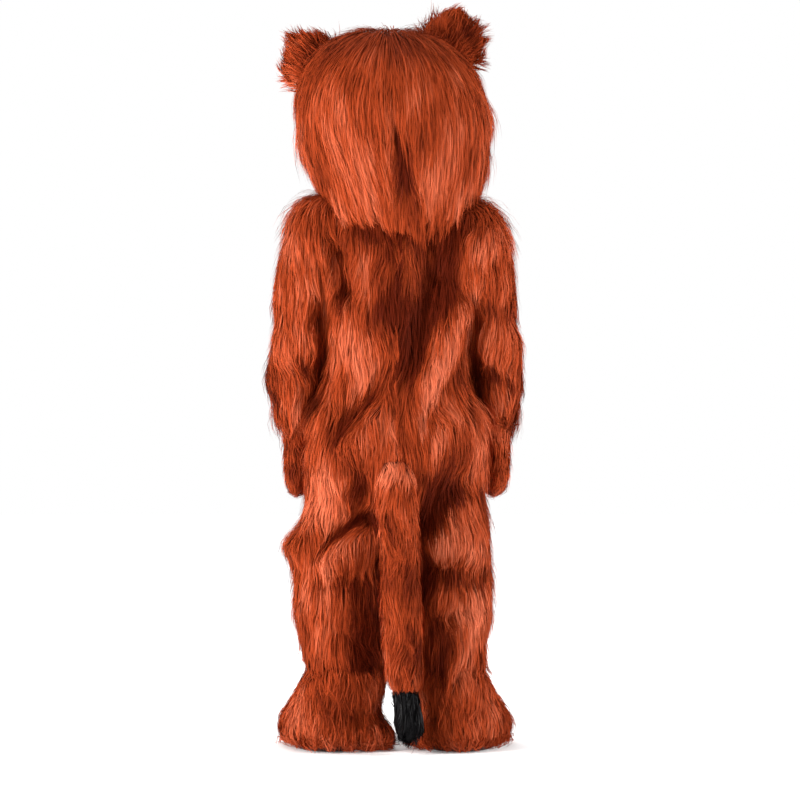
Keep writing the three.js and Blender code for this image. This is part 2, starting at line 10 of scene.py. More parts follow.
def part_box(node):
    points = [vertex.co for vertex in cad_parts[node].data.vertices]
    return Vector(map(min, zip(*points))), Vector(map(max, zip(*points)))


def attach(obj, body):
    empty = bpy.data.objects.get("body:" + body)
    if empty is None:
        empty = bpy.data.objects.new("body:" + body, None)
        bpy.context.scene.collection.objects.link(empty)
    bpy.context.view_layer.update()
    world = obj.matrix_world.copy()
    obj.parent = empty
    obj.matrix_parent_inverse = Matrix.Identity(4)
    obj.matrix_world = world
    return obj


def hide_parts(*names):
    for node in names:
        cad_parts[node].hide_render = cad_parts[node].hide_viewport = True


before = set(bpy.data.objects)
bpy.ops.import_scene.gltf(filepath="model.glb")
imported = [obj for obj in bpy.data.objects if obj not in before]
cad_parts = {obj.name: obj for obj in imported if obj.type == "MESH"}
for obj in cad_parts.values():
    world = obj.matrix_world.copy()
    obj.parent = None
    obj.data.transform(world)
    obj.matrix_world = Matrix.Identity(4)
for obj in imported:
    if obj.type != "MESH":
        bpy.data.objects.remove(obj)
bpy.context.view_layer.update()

# Metres, in the solids' frame: +Z up, the costume faces -Y, +X is the wearer's left.
SIDES = {"left": 1, "right": -1}
FLOOR = -1.440
CLEARANCE = 0.002       # cloth and pile end this far above the floor
BACKING = 0.0016        # thickness of the fur cloth's woven backing
SOLE_INSET = 0.030      # the tread stops this far inside the foot's outline
TUCK_HEIGHT = 0.075     # height of the foot's rounded lower edge
TUCK = (0.034, 0.016)   # how far that edge curls under at the floor, across and along
CROWN = Vector((0.018, 0.055, 0.404))
# How far the cloth lies below each solid's face, so that the pile on it ends at the face.
SINK = {"suit": 0.010, "head": 0.011, "paw": 0.008, "foot": 0.009, "ear": 0.0035, "tail": 0.007,
        "muzzle": 0.007, "tuft": 0.004}
# How far the stuffed pieces hang from their solids: tail and tuft to the left and up, ears into the head.
TAIL_SHIFT = (0.011, 0, 0.006)
TUFT_SHIFT = (0.014, 0, 0.018)
EAR_SHIFTS = {"left": (-0.007, 0, -0.019), "right": (0.017, 0, -0.019)}
# Where each ear's pile fans out from.
EAR_ROOTS = {"left": (0.150, 0.0, 0.275), "right": (-0.100, 0.0, 0.320)}

# Middle lines of the hollow pieces: what points away from them is the outside.
BODY_BONES = [
    ((0, 0, -0.02), (0, 0, -0.78)),
    ((0.115, 0, -0.74), (0.130, 0.004, -1.26)),
    ((-0.112, 0, -0.74), (-0.122, 0.004, -1.26)),
]
HEAD_BONES = [((0.0, 0, -0.10), (0.014, 0, 0.14)), ((0.014, 0, 0.14), (0.022, 0, 0.20))]


def sleeve_bones(side):
    elbow = (side * 0.230, -0.016, -0.30)
    return [((side * 0.150, 0, -0.090), elbow), (elbow, (side * 0.263, -0.062, -0.62))]


def paw_bones(side):
    return [((side * 0.263, -0.075, -0.54), (side * 0.260, -0.105, -0.74))]


def foot_bones(side):
    return [
        ((side * 0.132, 0.006, -1.17), (side * 0.140, 0.0, -1.36)),
        ((side * 0.145, 0.070, -1.41), (side * 0.205, -0.170, -1.41)),
    ]


# Creases in the cloth, for each side of the costume. A negative depth raises a ridge.
# Columns: start x, start z, end x, end z, depth, half width.
SUIT_CREASES = {"back": [
    (0.156, -0.12, 0.122, -0.29, 0.03, 0.017),
    (0.128, -0.13, 0.092, -0.3, -0.01, 0.02),
    (0.186, -0.27, 0.18, -0.56, 0.026, 0.016),
    (-0.1, -0.12, -0.086, -0.26, 0.03, 0.048),
    (-0.085, -0.24, -0.04, -0.43, 0.024, 0.03),
    (-0.19, -0.26, -0.07, -0.56, -0.018, 0.028),
    (-0.192, -0.27, -0.2, -0.56, 0.024, 0.016),
    (-0.018, -0.43, 0.13, -0.62, 0.014, 0.036),
    (-0.211, -0.28, -0.271, -0.32, 0.005, 0.02),
    (-0.216, -0.45, -0.291, -0.49, 0.008, 0.02),
    (0.205, -0.47, 0.29, -0.5, 0.008, 0.02),
    (0.03, -0.56, 0.13, -0.7, -0.014, 0.034),
    (-0.132, -0.47, -0.06, -0.64, 0.014, 0.02),
    (-0.09, -0.6, -0.2, -0.64, -0.012, 0.034),
    (0.11, -0.7, 0.06, -0.79, 0.014, 0.024),
    (0.034, -0.812, 0.205, -0.93, 0.019, 0.022),
    (0.06, -0.88, 0.17, -0.95, -0.008, 0.034),
    (0.205, -0.995, 0.06, -1.005, 0.008, 0.02),
    (-0.06, -0.8, -0.19, -0.73, 0.014, 0.032),
    (-0.06, -0.89, -0.21, -0.91, -0.008, 0.034),
    (-0.056, -0.965, -0.215, -0.99, 0.009, 0.022),
    (-0.2, -1.075, -0.08, -1.11, 0.014, 0.018),
    (0.17, -1.12, 0.05, -1.2, 0.014, 0.018),
], "front": [
    (0.15, -0.09, 0.128, -0.26, 0.019, 0.02),
    (-0.15, -0.09, -0.128, -0.26, 0.019, 0.02),
    (0.11, -0.42, -0.06, -0.52, 0.017, 0.024),
    (-0.12, -0.56, 0.05, -0.64, 0.016, 0.024),
    (0.03, -0.83, 0.18, -0.77, 0.022, 0.02),
    (-0.03, -0.83, -0.175, -0.78, 0.022, 0.02),
    (0.06, -0.98, 0.2, -1.01, 0.016, 0.018),
    (-0.06, -1.0, -0.19, -0.97, 0.016, 0.018),
    (0.08, -1.15, 0.19, -1.12, 0.012, 0.016),
    (-0.07, -1.11, -0.18, -1.15, 0.012, 0.016),
]}
HEAD_CREASES = {"back": [
    (0.004, 0.16, -0.034, -0.04, 0.014, 0.02),
    (0.016, 0.4, 0.006, 0.2, 0.004, 0.01),
]}

# Pouches of loose cloth: centre (x, y, z), half width, half height, how far it stands out.
SUIT_POUCHES = [
    ((0.262, 0.030, -0.922), 0.080, 0.036, 0.030),
    ((-0.002, 0.175, -0.690), 0.060, 0.028, 0.020),
    ((-0.245, 0.030, -1.010), 0.080, 0.030, 0.012),
    ((-0.285, 0.000, -0.400), 0.080, 0.034, 0.010),
    ((0.285, 0.000, -0.380), 0.080, 0.034, 0.010),
]
FOOT_POUCHES = [
    ((0.036, 0.040, -1.405), 0.080, 0.040, 0.062),
    ((-0.070, 0.050, -1.400), 0.050, 0.040, 0.010),
]

# Painted shade and painted light in the pile's colour, for each side: darker where shade falls (in folds,
# under the head, between the legs, in the parting along the closure), lighter where light falls on bulges.
# Columns: start x, start z, end x, end z, half width, change of tone.
SUIT_PAINTED_SHADING = {"back": [
    (0.19, -0.1, 0.02, -0.11, 0.022, -0.34),
    (-0.02, -0.11, -0.19, -0.105, 0.022, -0.34),
    (0.16, -0.125, 0.124, -0.295, 0.016, -0.6),
    (0.206, -0.31, 0.178, -0.56, 0.014, -0.55),
    (0.006, -0.06, -0.004, -0.33, 0.026, -0.24),
    (-0.002, -0.11, -0.014, -0.28, 0.007, -0.5),
    (-0.014, -0.28, -0.024, -0.47, 0.006, -0.6),
    (-0.01, -0.52, -0.004, -0.68, 0.008, -0.36),
    (-0.115, -0.165, -0.085, -0.29, 0.056, -0.66),
    (-0.075, -0.29, -0.04, -0.44, 0.034, -0.6),
    (-0.195, -0.26, -0.06, -0.59, 0.026, 0.5),
    (-0.12, -0.54, -0.11, -0.62, 0.05, 0.14),
    (0.08, -0.42, 0.09, -0.52, 0.04, 0.16),
    (0.11, -0.3, 0.11, -0.4, 0.034, 0.14),
    (0.06, -0.14, 0.08, -0.28, 0.03, 0.1),
    (0.02, -0.3, -0.02, -0.44, 0.03, -0.2),
    (-0.2, -0.3, -0.212, -0.56, 0.015, -0.6),
    (-0.018, -0.44, 0.128, -0.62, 0.034, -0.42),
    (-0.211, -0.28, -0.271, -0.322, 0.02, -0.36),
    (-0.216, -0.456, -0.291, -0.492, 0.022, -0.55),
    (0.215, -0.26, 0.275, -0.3, 0.018, -0.24),
    (0.25, -0.432, 0.198, -0.561, 0.022, -0.46),
    (0.24, -0.13, 0.24, -0.24, 0.03, 0.22),
    (0.26, -0.34, 0.27, -0.42, 0.026, 0.24),
    (-0.23, -0.15, -0.23, -0.24, 0.026, 0.22),
    (-0.26, -0.35, -0.265, -0.42, 0.026, 0.24),
    (0.06, -0.575, 0.02, -0.62, 0.03, 0.2),
    (-0.132, -0.47, -0.06, -0.64, 0.018, -0.28),
    (-0.18, -0.56, -0.19, -0.64, 0.026, 0.14),
    (0.05, -0.7, 0.1, -0.78, 0.03, -0.32),
    (0.18, -0.7, 0.2, -0.84, 0.034, 0.22),
    (-0.06, -0.71, -0.2, -0.76, 0.03, -0.36),
    (0.035, -0.82, 0.18, -0.918, 0.018, -0.85),
    (0.06, -0.895, 0.18, -0.955, 0.024, 0.34),
    (0.205, -1.0, 0.06, -1.005, 0.013, -0.6),
    (0.14, -1.03, 0.19, -1.035, 0.018, 0.22),
    (-0.06, -0.84, -0.135, -0.78, 0.025, -0.8),
    (-0.08, -0.905, -0.215, -0.918, 0.02, 0.36),
    (-0.07, -0.97, -0.195, -0.99, 0.019, -0.7),
    (0.08, -1.06, 0.1, -1.24, 0.056, -0.66),
    (-0.11, -0.72, -0.1, -0.8, 0.04, -0.26),
    (0.15, -0.9, 0.11, -0.98, 0.04, -0.18),
    (0.17, -0.72, 0.13, -0.8, 0.03, 0.16),
    (-0.085, -1.01, -0.11, -1.24, 0.042, -0.3),
    (-0.19, -1.06, -0.18, -1.22, 0.036, 0.22),
    (0.045, -0.86, 0.04, -1.24, 0.014, -0.26),
    (-0.06, -0.86, -0.062, -1.24, 0.014, -0.26),
], "front": [
    (0.0, -0.1, 0.0, -0.7, 0.1, -0.1),
    (0.11, -0.42, -0.06, -0.52, 0.02, -0.26),
    (-0.12, -0.56, 0.05, -0.64, 0.02, -0.24),
    (0.03, -0.83, 0.18, -0.77, 0.018, -0.36),
    (-0.03, -0.83, -0.175, -0.78, 0.018, -0.36),
]}
# Painted shade and painted light on the head: darker in the crease down the back and over the crown, lighter
# where light falls on the lower sides.
HEAD_PAINTED_SHADING = {"back": [
    (0.004, 0.15, -0.02, 0.02, 0.011, -0.7),
    (-0.02, 0.02, -0.042, -0.06, 0.016, -0.2),
    (0.016, 0.38, 0.004, 0.18, 0.016, -0.16),
    (0.12, 0.4, -0.1, 0.4, 0.07, -0.3),
    (0.13, 0.14, 0.11, 0.0, 0.06, 0.2),
    (-0.056, 0.13, -0.064, 0.0, 0.026, -0.14),
    (-0.13, 0.06, -0.12, -0.02, 0.05, 0.12),
]}
# Painted shade in the middle of each ear, behind and in front.
EAR_PAINTED_SHADING = {"back": [
    (0.205, 0.32, 0.19, 0.29, 0.03, -0.4),
    (-0.15, 0.37, -0.17, 0.4, 0.026, -0.36),
], "front": [
    (0.237, 0.333, 0.215, 0.31, 0.03, -0.3),
    (-0.167, 0.395, -0.15, 0.37, 0.03, -0.3),
]}
# Painted shade and painted light on the tail: darker down its shaded side and in its folds, lighter at its
# top, over the shade at its root.
TAIL_PAINTED_SHADING = {"back": [
    (-0.058, -0.76, -0.066, -1.24, 0.01, -0.3),
    (0.024, -0.702, -0.04, -0.702, 0.022, 0.34),
    (0.02, -0.8, 0.0, -1.24, 0.06, -0.16),
    (0.024, -0.79, 0.02, -0.86, 0.012, -0.26),
    (-0.03, -0.93, -0.02, -1.01, 0.014, -0.24),
    (0.012, -1.01, 0.004, -1.09, 0.014, 0.22),
    (-0.05, -1.11, -0.04, -1.19, 0.012, -0.26),
]}

FACING = {"back": 1, "front": -1}  # which way along Y each side of the costume looks
BOW = 0.012             # how far a crease bows upwards in its middle
LIP_AT, LIP_SHARE = 1.9, 0.3  # how many half widths beside a crease its lips run, and their share of its depth
RIPPLES = 14            # waves that add up to the small billows


# ---------------------------------------------------------------- meshes

def placed(name, mesh):
    """An object at the origin that shows the mesh."""
    obj = bpy.data.objects.new(name, mesh)
    bpy.context.scene.collection.objects.link(obj)
    return obj


def new_mesh(name, points, faces):
    mesh = bpy.data.meshes.new(name)
    mesh.from_pydata(points.tolist(), [], faces.tolist())
    return mesh


def settled(obj):
    """The object's mesh with its modifiers applied; the object is thrown away."""
    graph = bpy.context.evaluated_depsgraph_get()
    mesh = bpy.data.meshes.new_from_object(
        obj.evaluated_get(graph), preserve_all_data_layers=True, depsgraph=graph)
    bpy.data.objects.remove(obj)
    return mesh


def merged_copy(nodes):
    """One mesh of the named solids, with each solid's doubles merged."""
    bm = bmesh.new()
    for node in nodes:
        bm.from_mesh(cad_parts[node].data)
    bmesh.ops.remove_doubles(bm, verts=bm.verts, dist=1e-5)
    mesh = bpy.data.meshes.new("copy")
    bm.to_mesh(mesh)
    bm.free()
    return mesh


def softened(nodes, voxel, rounds):
    """The named solids fused and rounded off, as points and four-cornered faces."""
    obj = placed("soft", merged_copy(nodes))
    remesh = obj.modifiers.new("Remesh", "REMESH")
    remesh.mode = "VOXEL"
    remesh.voxel_size = voxel
    smooth = obj.modifiers.new("Smooth", "SMOOTH")
    smooth.factor = 0.5
    smooth.iterations = rounds
    mesh = settled(obj)
    points = np.empty(len(mesh.vertices) * 3)
    mesh.vertices.foreach_get("co", points)
    corners = np.empty(len(mesh.loops), dtype=np.int64)
    mesh.loops.foreach_get("vertex_index", corners)
    return points.reshape(-1, 3), corners.reshape(-1, 4)


def unit(v):
    return v / np.maximum(np.linalg.norm(v, axis=-1, keepdims=True), 1e-9)


def bell(value, width, middle=0.0):
    """1 at the middle, falling away smoothly to either side."""
    return np.exp(-((value - middle) / width) ** 2)


def ramp(low, high, value):
    """0 below the low end, 1 above the high end, and smooth between."""
    t = np.clip((value - low) / (high - low), 0, 1)
    return t * t * (3 - 2 * t)


def crossed(points, faces):
    """The cross product of each face's diagonals: its normal, longer for a larger face."""
    return np.cross(points[faces[:, 2]] - points[faces[:, 0]], points[faces[:, 3]] - points[faces[:, 1]])


def point_normals(points, faces):
    across = crossed(points, faces)
    total = np.zeros_like(points)
    for corner in range(4):
        np.add.at(total, faces[:, corner], across)
    return unit(total)


def on_line(points, start, end):
    """How far along the line each point is, 0 to 1, and the nearest spot on the line."""
    a, b = np.array(start, float), np.array(end, float)
    t = np.clip((points - a) @ (b - a) / ((b - a) @ (b - a)), 0, 1)
    return t, a + t[:, None] * (b - a)


def nearest_on_bones(points, bones):
    best = np.full(len(points), 1e9)
    spot = np.zeros_like(points)
    for start, end in bones:
        near = on_line(points, start, end)[1]
        far = np.linalg.norm(points - near, axis=1)
        closer = far < best
        best[closer] = far[closer]
        spot[closer] = near[closer]
    return spot


def kept(points, faces, keep):
    """Only the kept faces, and the points they use."""
    faces = faces[keep]
    used, renumbered = np.unique(faces, return_inverse=True)
    return points[used], renumbered.reshape(-1, 4)


def largest_patch(faces, count):
    """Marks the faces joined to the largest connected patch."""
    group = np.arange(count)
    while True:
        low = group[faces].min(axis=1)
        before = group.copy()
        for corner in range(4):
            np.minimum.at(group, faces[:, corner], low)
        group = group[group]
        if (group == before).all():
            break
    label = group[faces[:, 0]]
    names, sizes = np.unique(label, return_counts=True)
    return label == names[sizes.argmax()]


def outside(points, faces, panel, bones, least=0.25):
    """The faces that point away from the middle lines of the panel they are on."""
    centre = points[faces].mean(axis=1)
    normal = unit(crossed(points, faces))
    keep = np.zeros(len(faces), dtype=bool)
    for index, lines in enumerate(bones):
        here = panel == index
        away = unit(centre[here] - nearest_on_bones(centre[here], lines))
        keep[here] = (normal[here] * away).sum(axis=1) > least
    panel = panel[keep]
    points, faces = kept(points, faces, keep)
    whole = largest_patch(faces, len(points))
    return *kept(points, faces, whole), panel[whole]


def creased(points, faces, creases, hold=None):
    """Presses each crease into the surface, and raises those of negative depth."""
    normal = point_normals(points, faces)
    flat = points[:, [0, 2]]
    push = np.zeros(len(points))
    for side, rows in creases.items():
        facing = np.clip(normal[:, 1] * (1.6 * FACING[side]), 0, 1)
        for *line, depth, half_width in rows:
            t, near = on_line(flat, line[:2], line[2:])
            off = flat - near
            off[:, 1] -= BOW * np.sin(math.pi * t)
            gap = np.linalg.norm(off, axis=1)
            along = np.clip(np.minimum(t, 1 - t) * 5, 0, 1) * 0.75 + 0.25
            lips = bell(gap, half_width, LIP_AT * half_width)
            push -= depth * facing * along * (bell(gap, half_width) - LIP_SHARE * lips)
    if hold is not None:
        push *= hold(points)
    return points + normal * push[:, None]


def pouched(points, faces, pouches):
    """Pushes each pouch of loose cloth outwards."""
    normal = point_normals(points, faces)
    push = np.zeros(len(points))
    for centre, half_width, half_height, stand in pouches:
        gap = (points - np.array(centre)) / np.array([half_width, half_width, half_height])
        push += stand * np.exp(-(gap ** 2).sum(axis=1))
    return points + normal * push[:, None]


def tucked(points):
    """Curls the bottom of a foot in under it, towards the sole."""
    low = np.clip(1 - (points[:, 2] - FLOOR) / TUCK_HEIGHT, 0, 1)
    curl = 1 - np.sqrt(1 - low ** 2)
    moved = points.copy()
    for axis, tuck in enumerate(TUCK):
        near = points[low > 0, axis]
        middle, half = (near.max() + near.min()) / 2, (near.max() - near.min()) / 2
        moved[:, axis] -= (points[:, axis] - middle) / half * tuck * curl
    return moved


def painted_shading_of(points, normal, marks, drop):
    """Painted light and painted shade: how much lighter or darker the pile's colour is made at each root, so
    that its locks show it the drop below.
    """
    tone = np.zeros(len(points))
    flat = points[:, [0, 2]] - np.array([0, drop])
    for side, rows in marks.items():
        facing = np.clip(0.3 + normal[:, 1] * (1.5 * FACING[side]), 0, 1)
        for *line, half_width, change in rows:
            gap = np.linalg.norm(flat - on_line(flat, line[:2], line[2:])[1], axis=1)
            tone += change * facing * bell(gap, half_width)
    return tone


def rippled(points, faces, height, seed):
    """Small irregular billows, so that no stretch of cloth is dead smooth."""
    draw = np.random.default_rng(seed)
    push = np.zeros(len(points))
    for _ in range(RIPPLES):
        direction = draw.normal(size=3) * np.array([0.55, 0.55, 1.0])
        length = draw.uniform(0.07, 0.20)
        phase = draw.uniform(0, 2 * math.pi)
        turns = points @ (direction / np.linalg.norm(direction)) * 2 * math.pi / length
        push += np.sin(turns + phase) / RIPPLES ** 0.5
    return points + point_normals(points, faces) * (push * height)[:, None]


# ---------------------------------------------------------------- lie of the pile

def laid(raw, normal):
    """The direction laid down on the surface, one long."""
    return unit(raw - (raw * normal).sum(axis=1, keepdims=True) * normal)


def straight_down(points):
    raw = np.zeros_like(points)
    raw[:, 2] = -1
    return raw


def suit_lie(points, normal):
    """Down the cloth, out over the shoulders, and leaning in over the closure on the back."""
    x, y, z = points.T
    raw = straight_down(points)
    over = ramp(0.35, 0.95, normal[:, 2])
    raw[:, 0] += np.sign(x) * over * 1.4
    raw[:, 1] += np.sign(y) * over * 0.5
    near_closure = bell(x, 0.022) * ramp(-0.72, -0.66, z)
    uneven = 0.5 + 0.5 * np.sin(z * 61 + 1.3) * np.sin(z * 23)
    raw[:, 0] -= np.where(y > 0, np.sign(x) * near_closure * 0.34 * uneven, 0)
    raw[:, 0] += 0.12 * np.sin(z * 23 + x * 9) + 0.08 * np.sin(z * 51 - x * 37)
    return raw


def head_lie(points, normal):
    """Out from the crown, then down, leaning in to the parting on the left half."""
    x, y, z = points.T
    from_crown = points - np.array(CROWN)
    away = unit(from_crown * (1, 1, 0))
    high = ramp(0.16, 0.40, z)
    behind = ramp(0.0, 0.10, y)
    raw = away * (0.30 - 0.18 * behind + 1.7 * high)[:, None]
    raw[:, 2] -= 1
    whorl = bell(np.linalg.norm(from_crown, axis=1), 0.07)
    raw += away[:, [1, 0, 2]] * (-1, 1, 0) * (whorl * 0.35)[:, None]
    low = 1 - ramp(0.02, 0.30, z)
    raw[:, 0] -= 0.22 * low * (ramp(0.0, 0.05, x) * ramp(0, 0.08, y))
    face = ramp(0.02, 0.14, -y)
    raw[:, 0] += face * np.clip(x - 0.008, -0.15, 0.15) * 5
    raw[:, 2] += face * ramp(0.10, 0.28, z) * 0.5
    return raw


def downward(points, normal):
    raw = straight_down(points)
    raw[:, 0] += 0.12 * np.sin(points[:, 2] * 31)
    raw[:, :2] += normal[:, :2] * 0.3
    return raw


def tail_lie(points, normal):
    """Over the top of the tail's root and down."""
    raw = straight_down(points)
    raw[:, 1] += ramp(0.3, 0.9, normal[:, 2]) * 1.5
    raw[:, 0] += 0.10 * np.sin(points[:, 2] * 31)
    return raw


def foot_lie(side):
    """Down the ankle, then outward over the foot to the floor."""
    def lie(points, normal):
        away = (points - np.array([side * 0.150, -0.02, 0])) * (1, 1, 0)
        low = 1 - ramp(-1.38, -1.28, points[:, 2])
        return straight_down(points) + unit(away) * (0.35 + 0.9 * low)[:, None]
    return lie


def ear_lie(base):
    """From the root of the ear out to its rim."""
    return lambda points, normal: points - np.array(base)


def muzzle_lie(points, normal):
    """Back from the nose, and down."""
    raw = points - np.array([0.008, -0.36, 0.17])
    raw[:, 2] -= 0.04
    return raw


# ---------------------------------------------------------------- node helpers

class Net:
    """A node tree with short ways to add nodes and join them."""

    def __init__(self, tree):
        self.tree = tree

    def node(self, kind, inputs=(), **settings):
        made = self.tree.nodes.new(kind)
        for key, value in settings.items():
            setattr(made, key, value)
        for key, value in dict(inputs).items():
            self.feed(made.inputs[key], value)
        return made

    def feed(self, socket, value):
        """Links a socket, or sets its value."""
        if isinstance(value, bpy.types.NodeSocket):
            self.tree.links.new(value, socket)
        else:
            socket.default_value = value

    def math(self, operation, a, b=0.0, clamp=False):
        return self.node("ShaderNodeMath", {0: a, 1: b}, operation=operation, use_clamp=clamp).outputs[0]

    def times(self, a, b):
        return self.math("MULTIPLY", a, b)

    def plus(self, a, b):
        return self.math("ADD", a, b)

    def vector(self, operation, a, b=None):
        made = self.node("ShaderNodeVectorMath", {0: a}, operation=operation)
        if b is not None:
            self.feed(made.inputs["Scale" if operation == "SCALE" else 1], b)
        return made.outputs["Value" if operation in ("DOT_PRODUCT", "LENGTH") else 0]

    def combined(self, x, y, z=0.0):
        return self.node("ShaderNodeCombineXYZ", {"X": x, "Y": y, "Z": z}).outputs[0]

    def added(self, *vectors):
        total = vectors[0]
        for more in vectors[1:]:
            total = self.vector("ADD", total, more)
        return total

    def scaled(self, vector, factor):
        return self.vector("SCALE", vector, factor)

    def noise(self, place, scale, detail, **more):
        given = {"Vector": place, "Scale": scale, "Detail": detail, **more}
        return self.node("ShaderNodeTexNoise", given).outputs

    def remap(self, value, low, high, to_low=0.0, to_high=1.0):
        """The value moved from one range to another, and kept inside it."""
        given = {"Value": value, "From Min": low, "From Max": high, "To Min": to_low, "To Max": to_high}
        return self.node("ShaderNodeMapRange", given).outputs[0]

    def blend(self, factor, first, second, how="MIX"):
        given = {"Factor": factor, 6: first, 7: second}
        return self.node("ShaderNodeMix", given, data_type="RGBA", blend_type=how).outputs[2]

    def dimmed(self, colour, strength):
        """The colour times a grey of that strength."""
        grey = self.node("ShaderNodeCombineColor", {0: strength, 1: strength, 2: strength}).outputs[0]
        return self.blend(1.0, colour, grey, "MULTIPLY")

    def place(self):
        return self.node("ShaderNodeTexCoord").outputs["Object"]


# ---------------------------------------------------------------- the pile

STEPS = 3  # straight stretches in one lock of the pile
TOUCHING = 0.002  # a lock nearer to the cloth than this lies on it
LOCK_TAPER = [0, 1.0, 0.78, 0]  # share of the full width at each step
LOCK_RISE = [0.0, 0.62, 0.95, 1.08]  # share of the height
LOCK_GATHER = [0.0, 0.30, 0.62, 0.85]  # share of the pull towards the middle of the tuft
LENGTHS = (0.68, 1.12)  # shortest and longest lock, as shares of the kind's length
HALF_WIDTHS = (0.32, 0.62)  # narrowest and widest lock, from its middle to its edge
LEAST_RISE, RISE_SPREAD = 0.25, 0.80  # how high the locks stand, as shares of the kind's height
LOOSE_POWER = 9.0  # the higher, the fewer locks stand up out of the pile
TUFT_TONE, LOCK_TONE, BASE_TONE = 0.20, 0.15, 0.295  # shares of the tone, and where it starts
TONE_START, TONE_SPAN, LOCK_SPAN = 0.03, 0.94, 0.004  # where a lock's tone lies across the map
TIP_START, TIP_SPAN = 0.02, 0.96  # where its root and tip lie up the map

# Sizes of each kind of pile. Density is in locks for each square metre. Length, Width, Height, Tuft Spacing
# and Hang are in metres. The others are shares.
PILE_COLUMNS = ("Density", "Length", "Width", "Height", "Tuft Spacing", "Tuft Pull", "Tuft Sway", "Wave",
                "Stray", "Hang", "Flare", "Roll", "Patches")
PILE_SIZES = {
    "suit": (63000.0, 0.098, 0.0023, 0.0125, 0.018, 0.42, 0.10, 0.34, 0.07, 0.050, 0.10, 0.45, 2.1),
    "head": (78000.0, 0.130, 0.0021, 0.0125, 0.018, 0.40, 0.08, 0.26, 0.06, 0.050, 0.12, 0.45, 1.5),
    "paw": (60000.0, 0.056, 0.0025, 0.010, 0.018, 0.6, 0.16, 0.5, 0.12, 0.020, 0.0, 0.5, 1.8),
    "foot": (64000.0, 0.070, 0.0024, 0.0120, 0.018, 0.55, 0.26, 0.5, 0.20, 0.030, 0.6, 0.7, 1.8),
    "ear": (130000.0, 0.052, 0.0020, 0.0070, 0.020, 0.3, 0.36, 0.5, 0.22, 0.005, 0.0, 1.3, 1.35),
    "tail": (64000.0, 0.070, 0.0023, 0.0100, 0.018, 0.6, 0.18, 0.5, 0.12, 0.050, 0.0, 0.6, 1.9),
    "muzzle": (120000.0, 0.024, 0.0023, 0.0060, 0.012, 0.5, 0.15, 0.4, 0.15, 0.050, 0.0, 0.5, 1.35),
    "tuft": (130000.0, 0.066, 0.0020, 0.0060, 0.016, 0.6, 0.10, 0.3, 0.08, 0.050, 0.0, 0.6, 1.35),
}


def lock_template():
    """A narrow lock, pointed at root and tip, marked by how far along each point is."""
    rows = [(0, 0)] + [(step, side) for step in range(1, STEPS) for side in (-1, 1)] + [(STEPS, 0)]
    last = len(rows) - 1
    faces = [(0, 1, 2)] + [(k, k + 2, k + 3, k + 1) for k in range(1, last - 2, 2)]
    mesh = bpy.data.meshes.new("lock")
    mesh.from_pydata([(side, step, 0) for step, side in rows], [], faces + [(last - 2, last, last - 1)])
    marks = {f"at{at}": [float(step == at) for step, side in rows] for at in range(STEPS + 1)}
    marks["along"] = [step / STEPS for step, side in rows]
    marks["side"] = [side * LOCK_TAPER[step] for step, side in rows]
    for name, values in marks.items():
        mesh.attributes.new(name, "FLOAT", "POINT").data.foreach_set("value", values)
    return placed("lock", mesh)


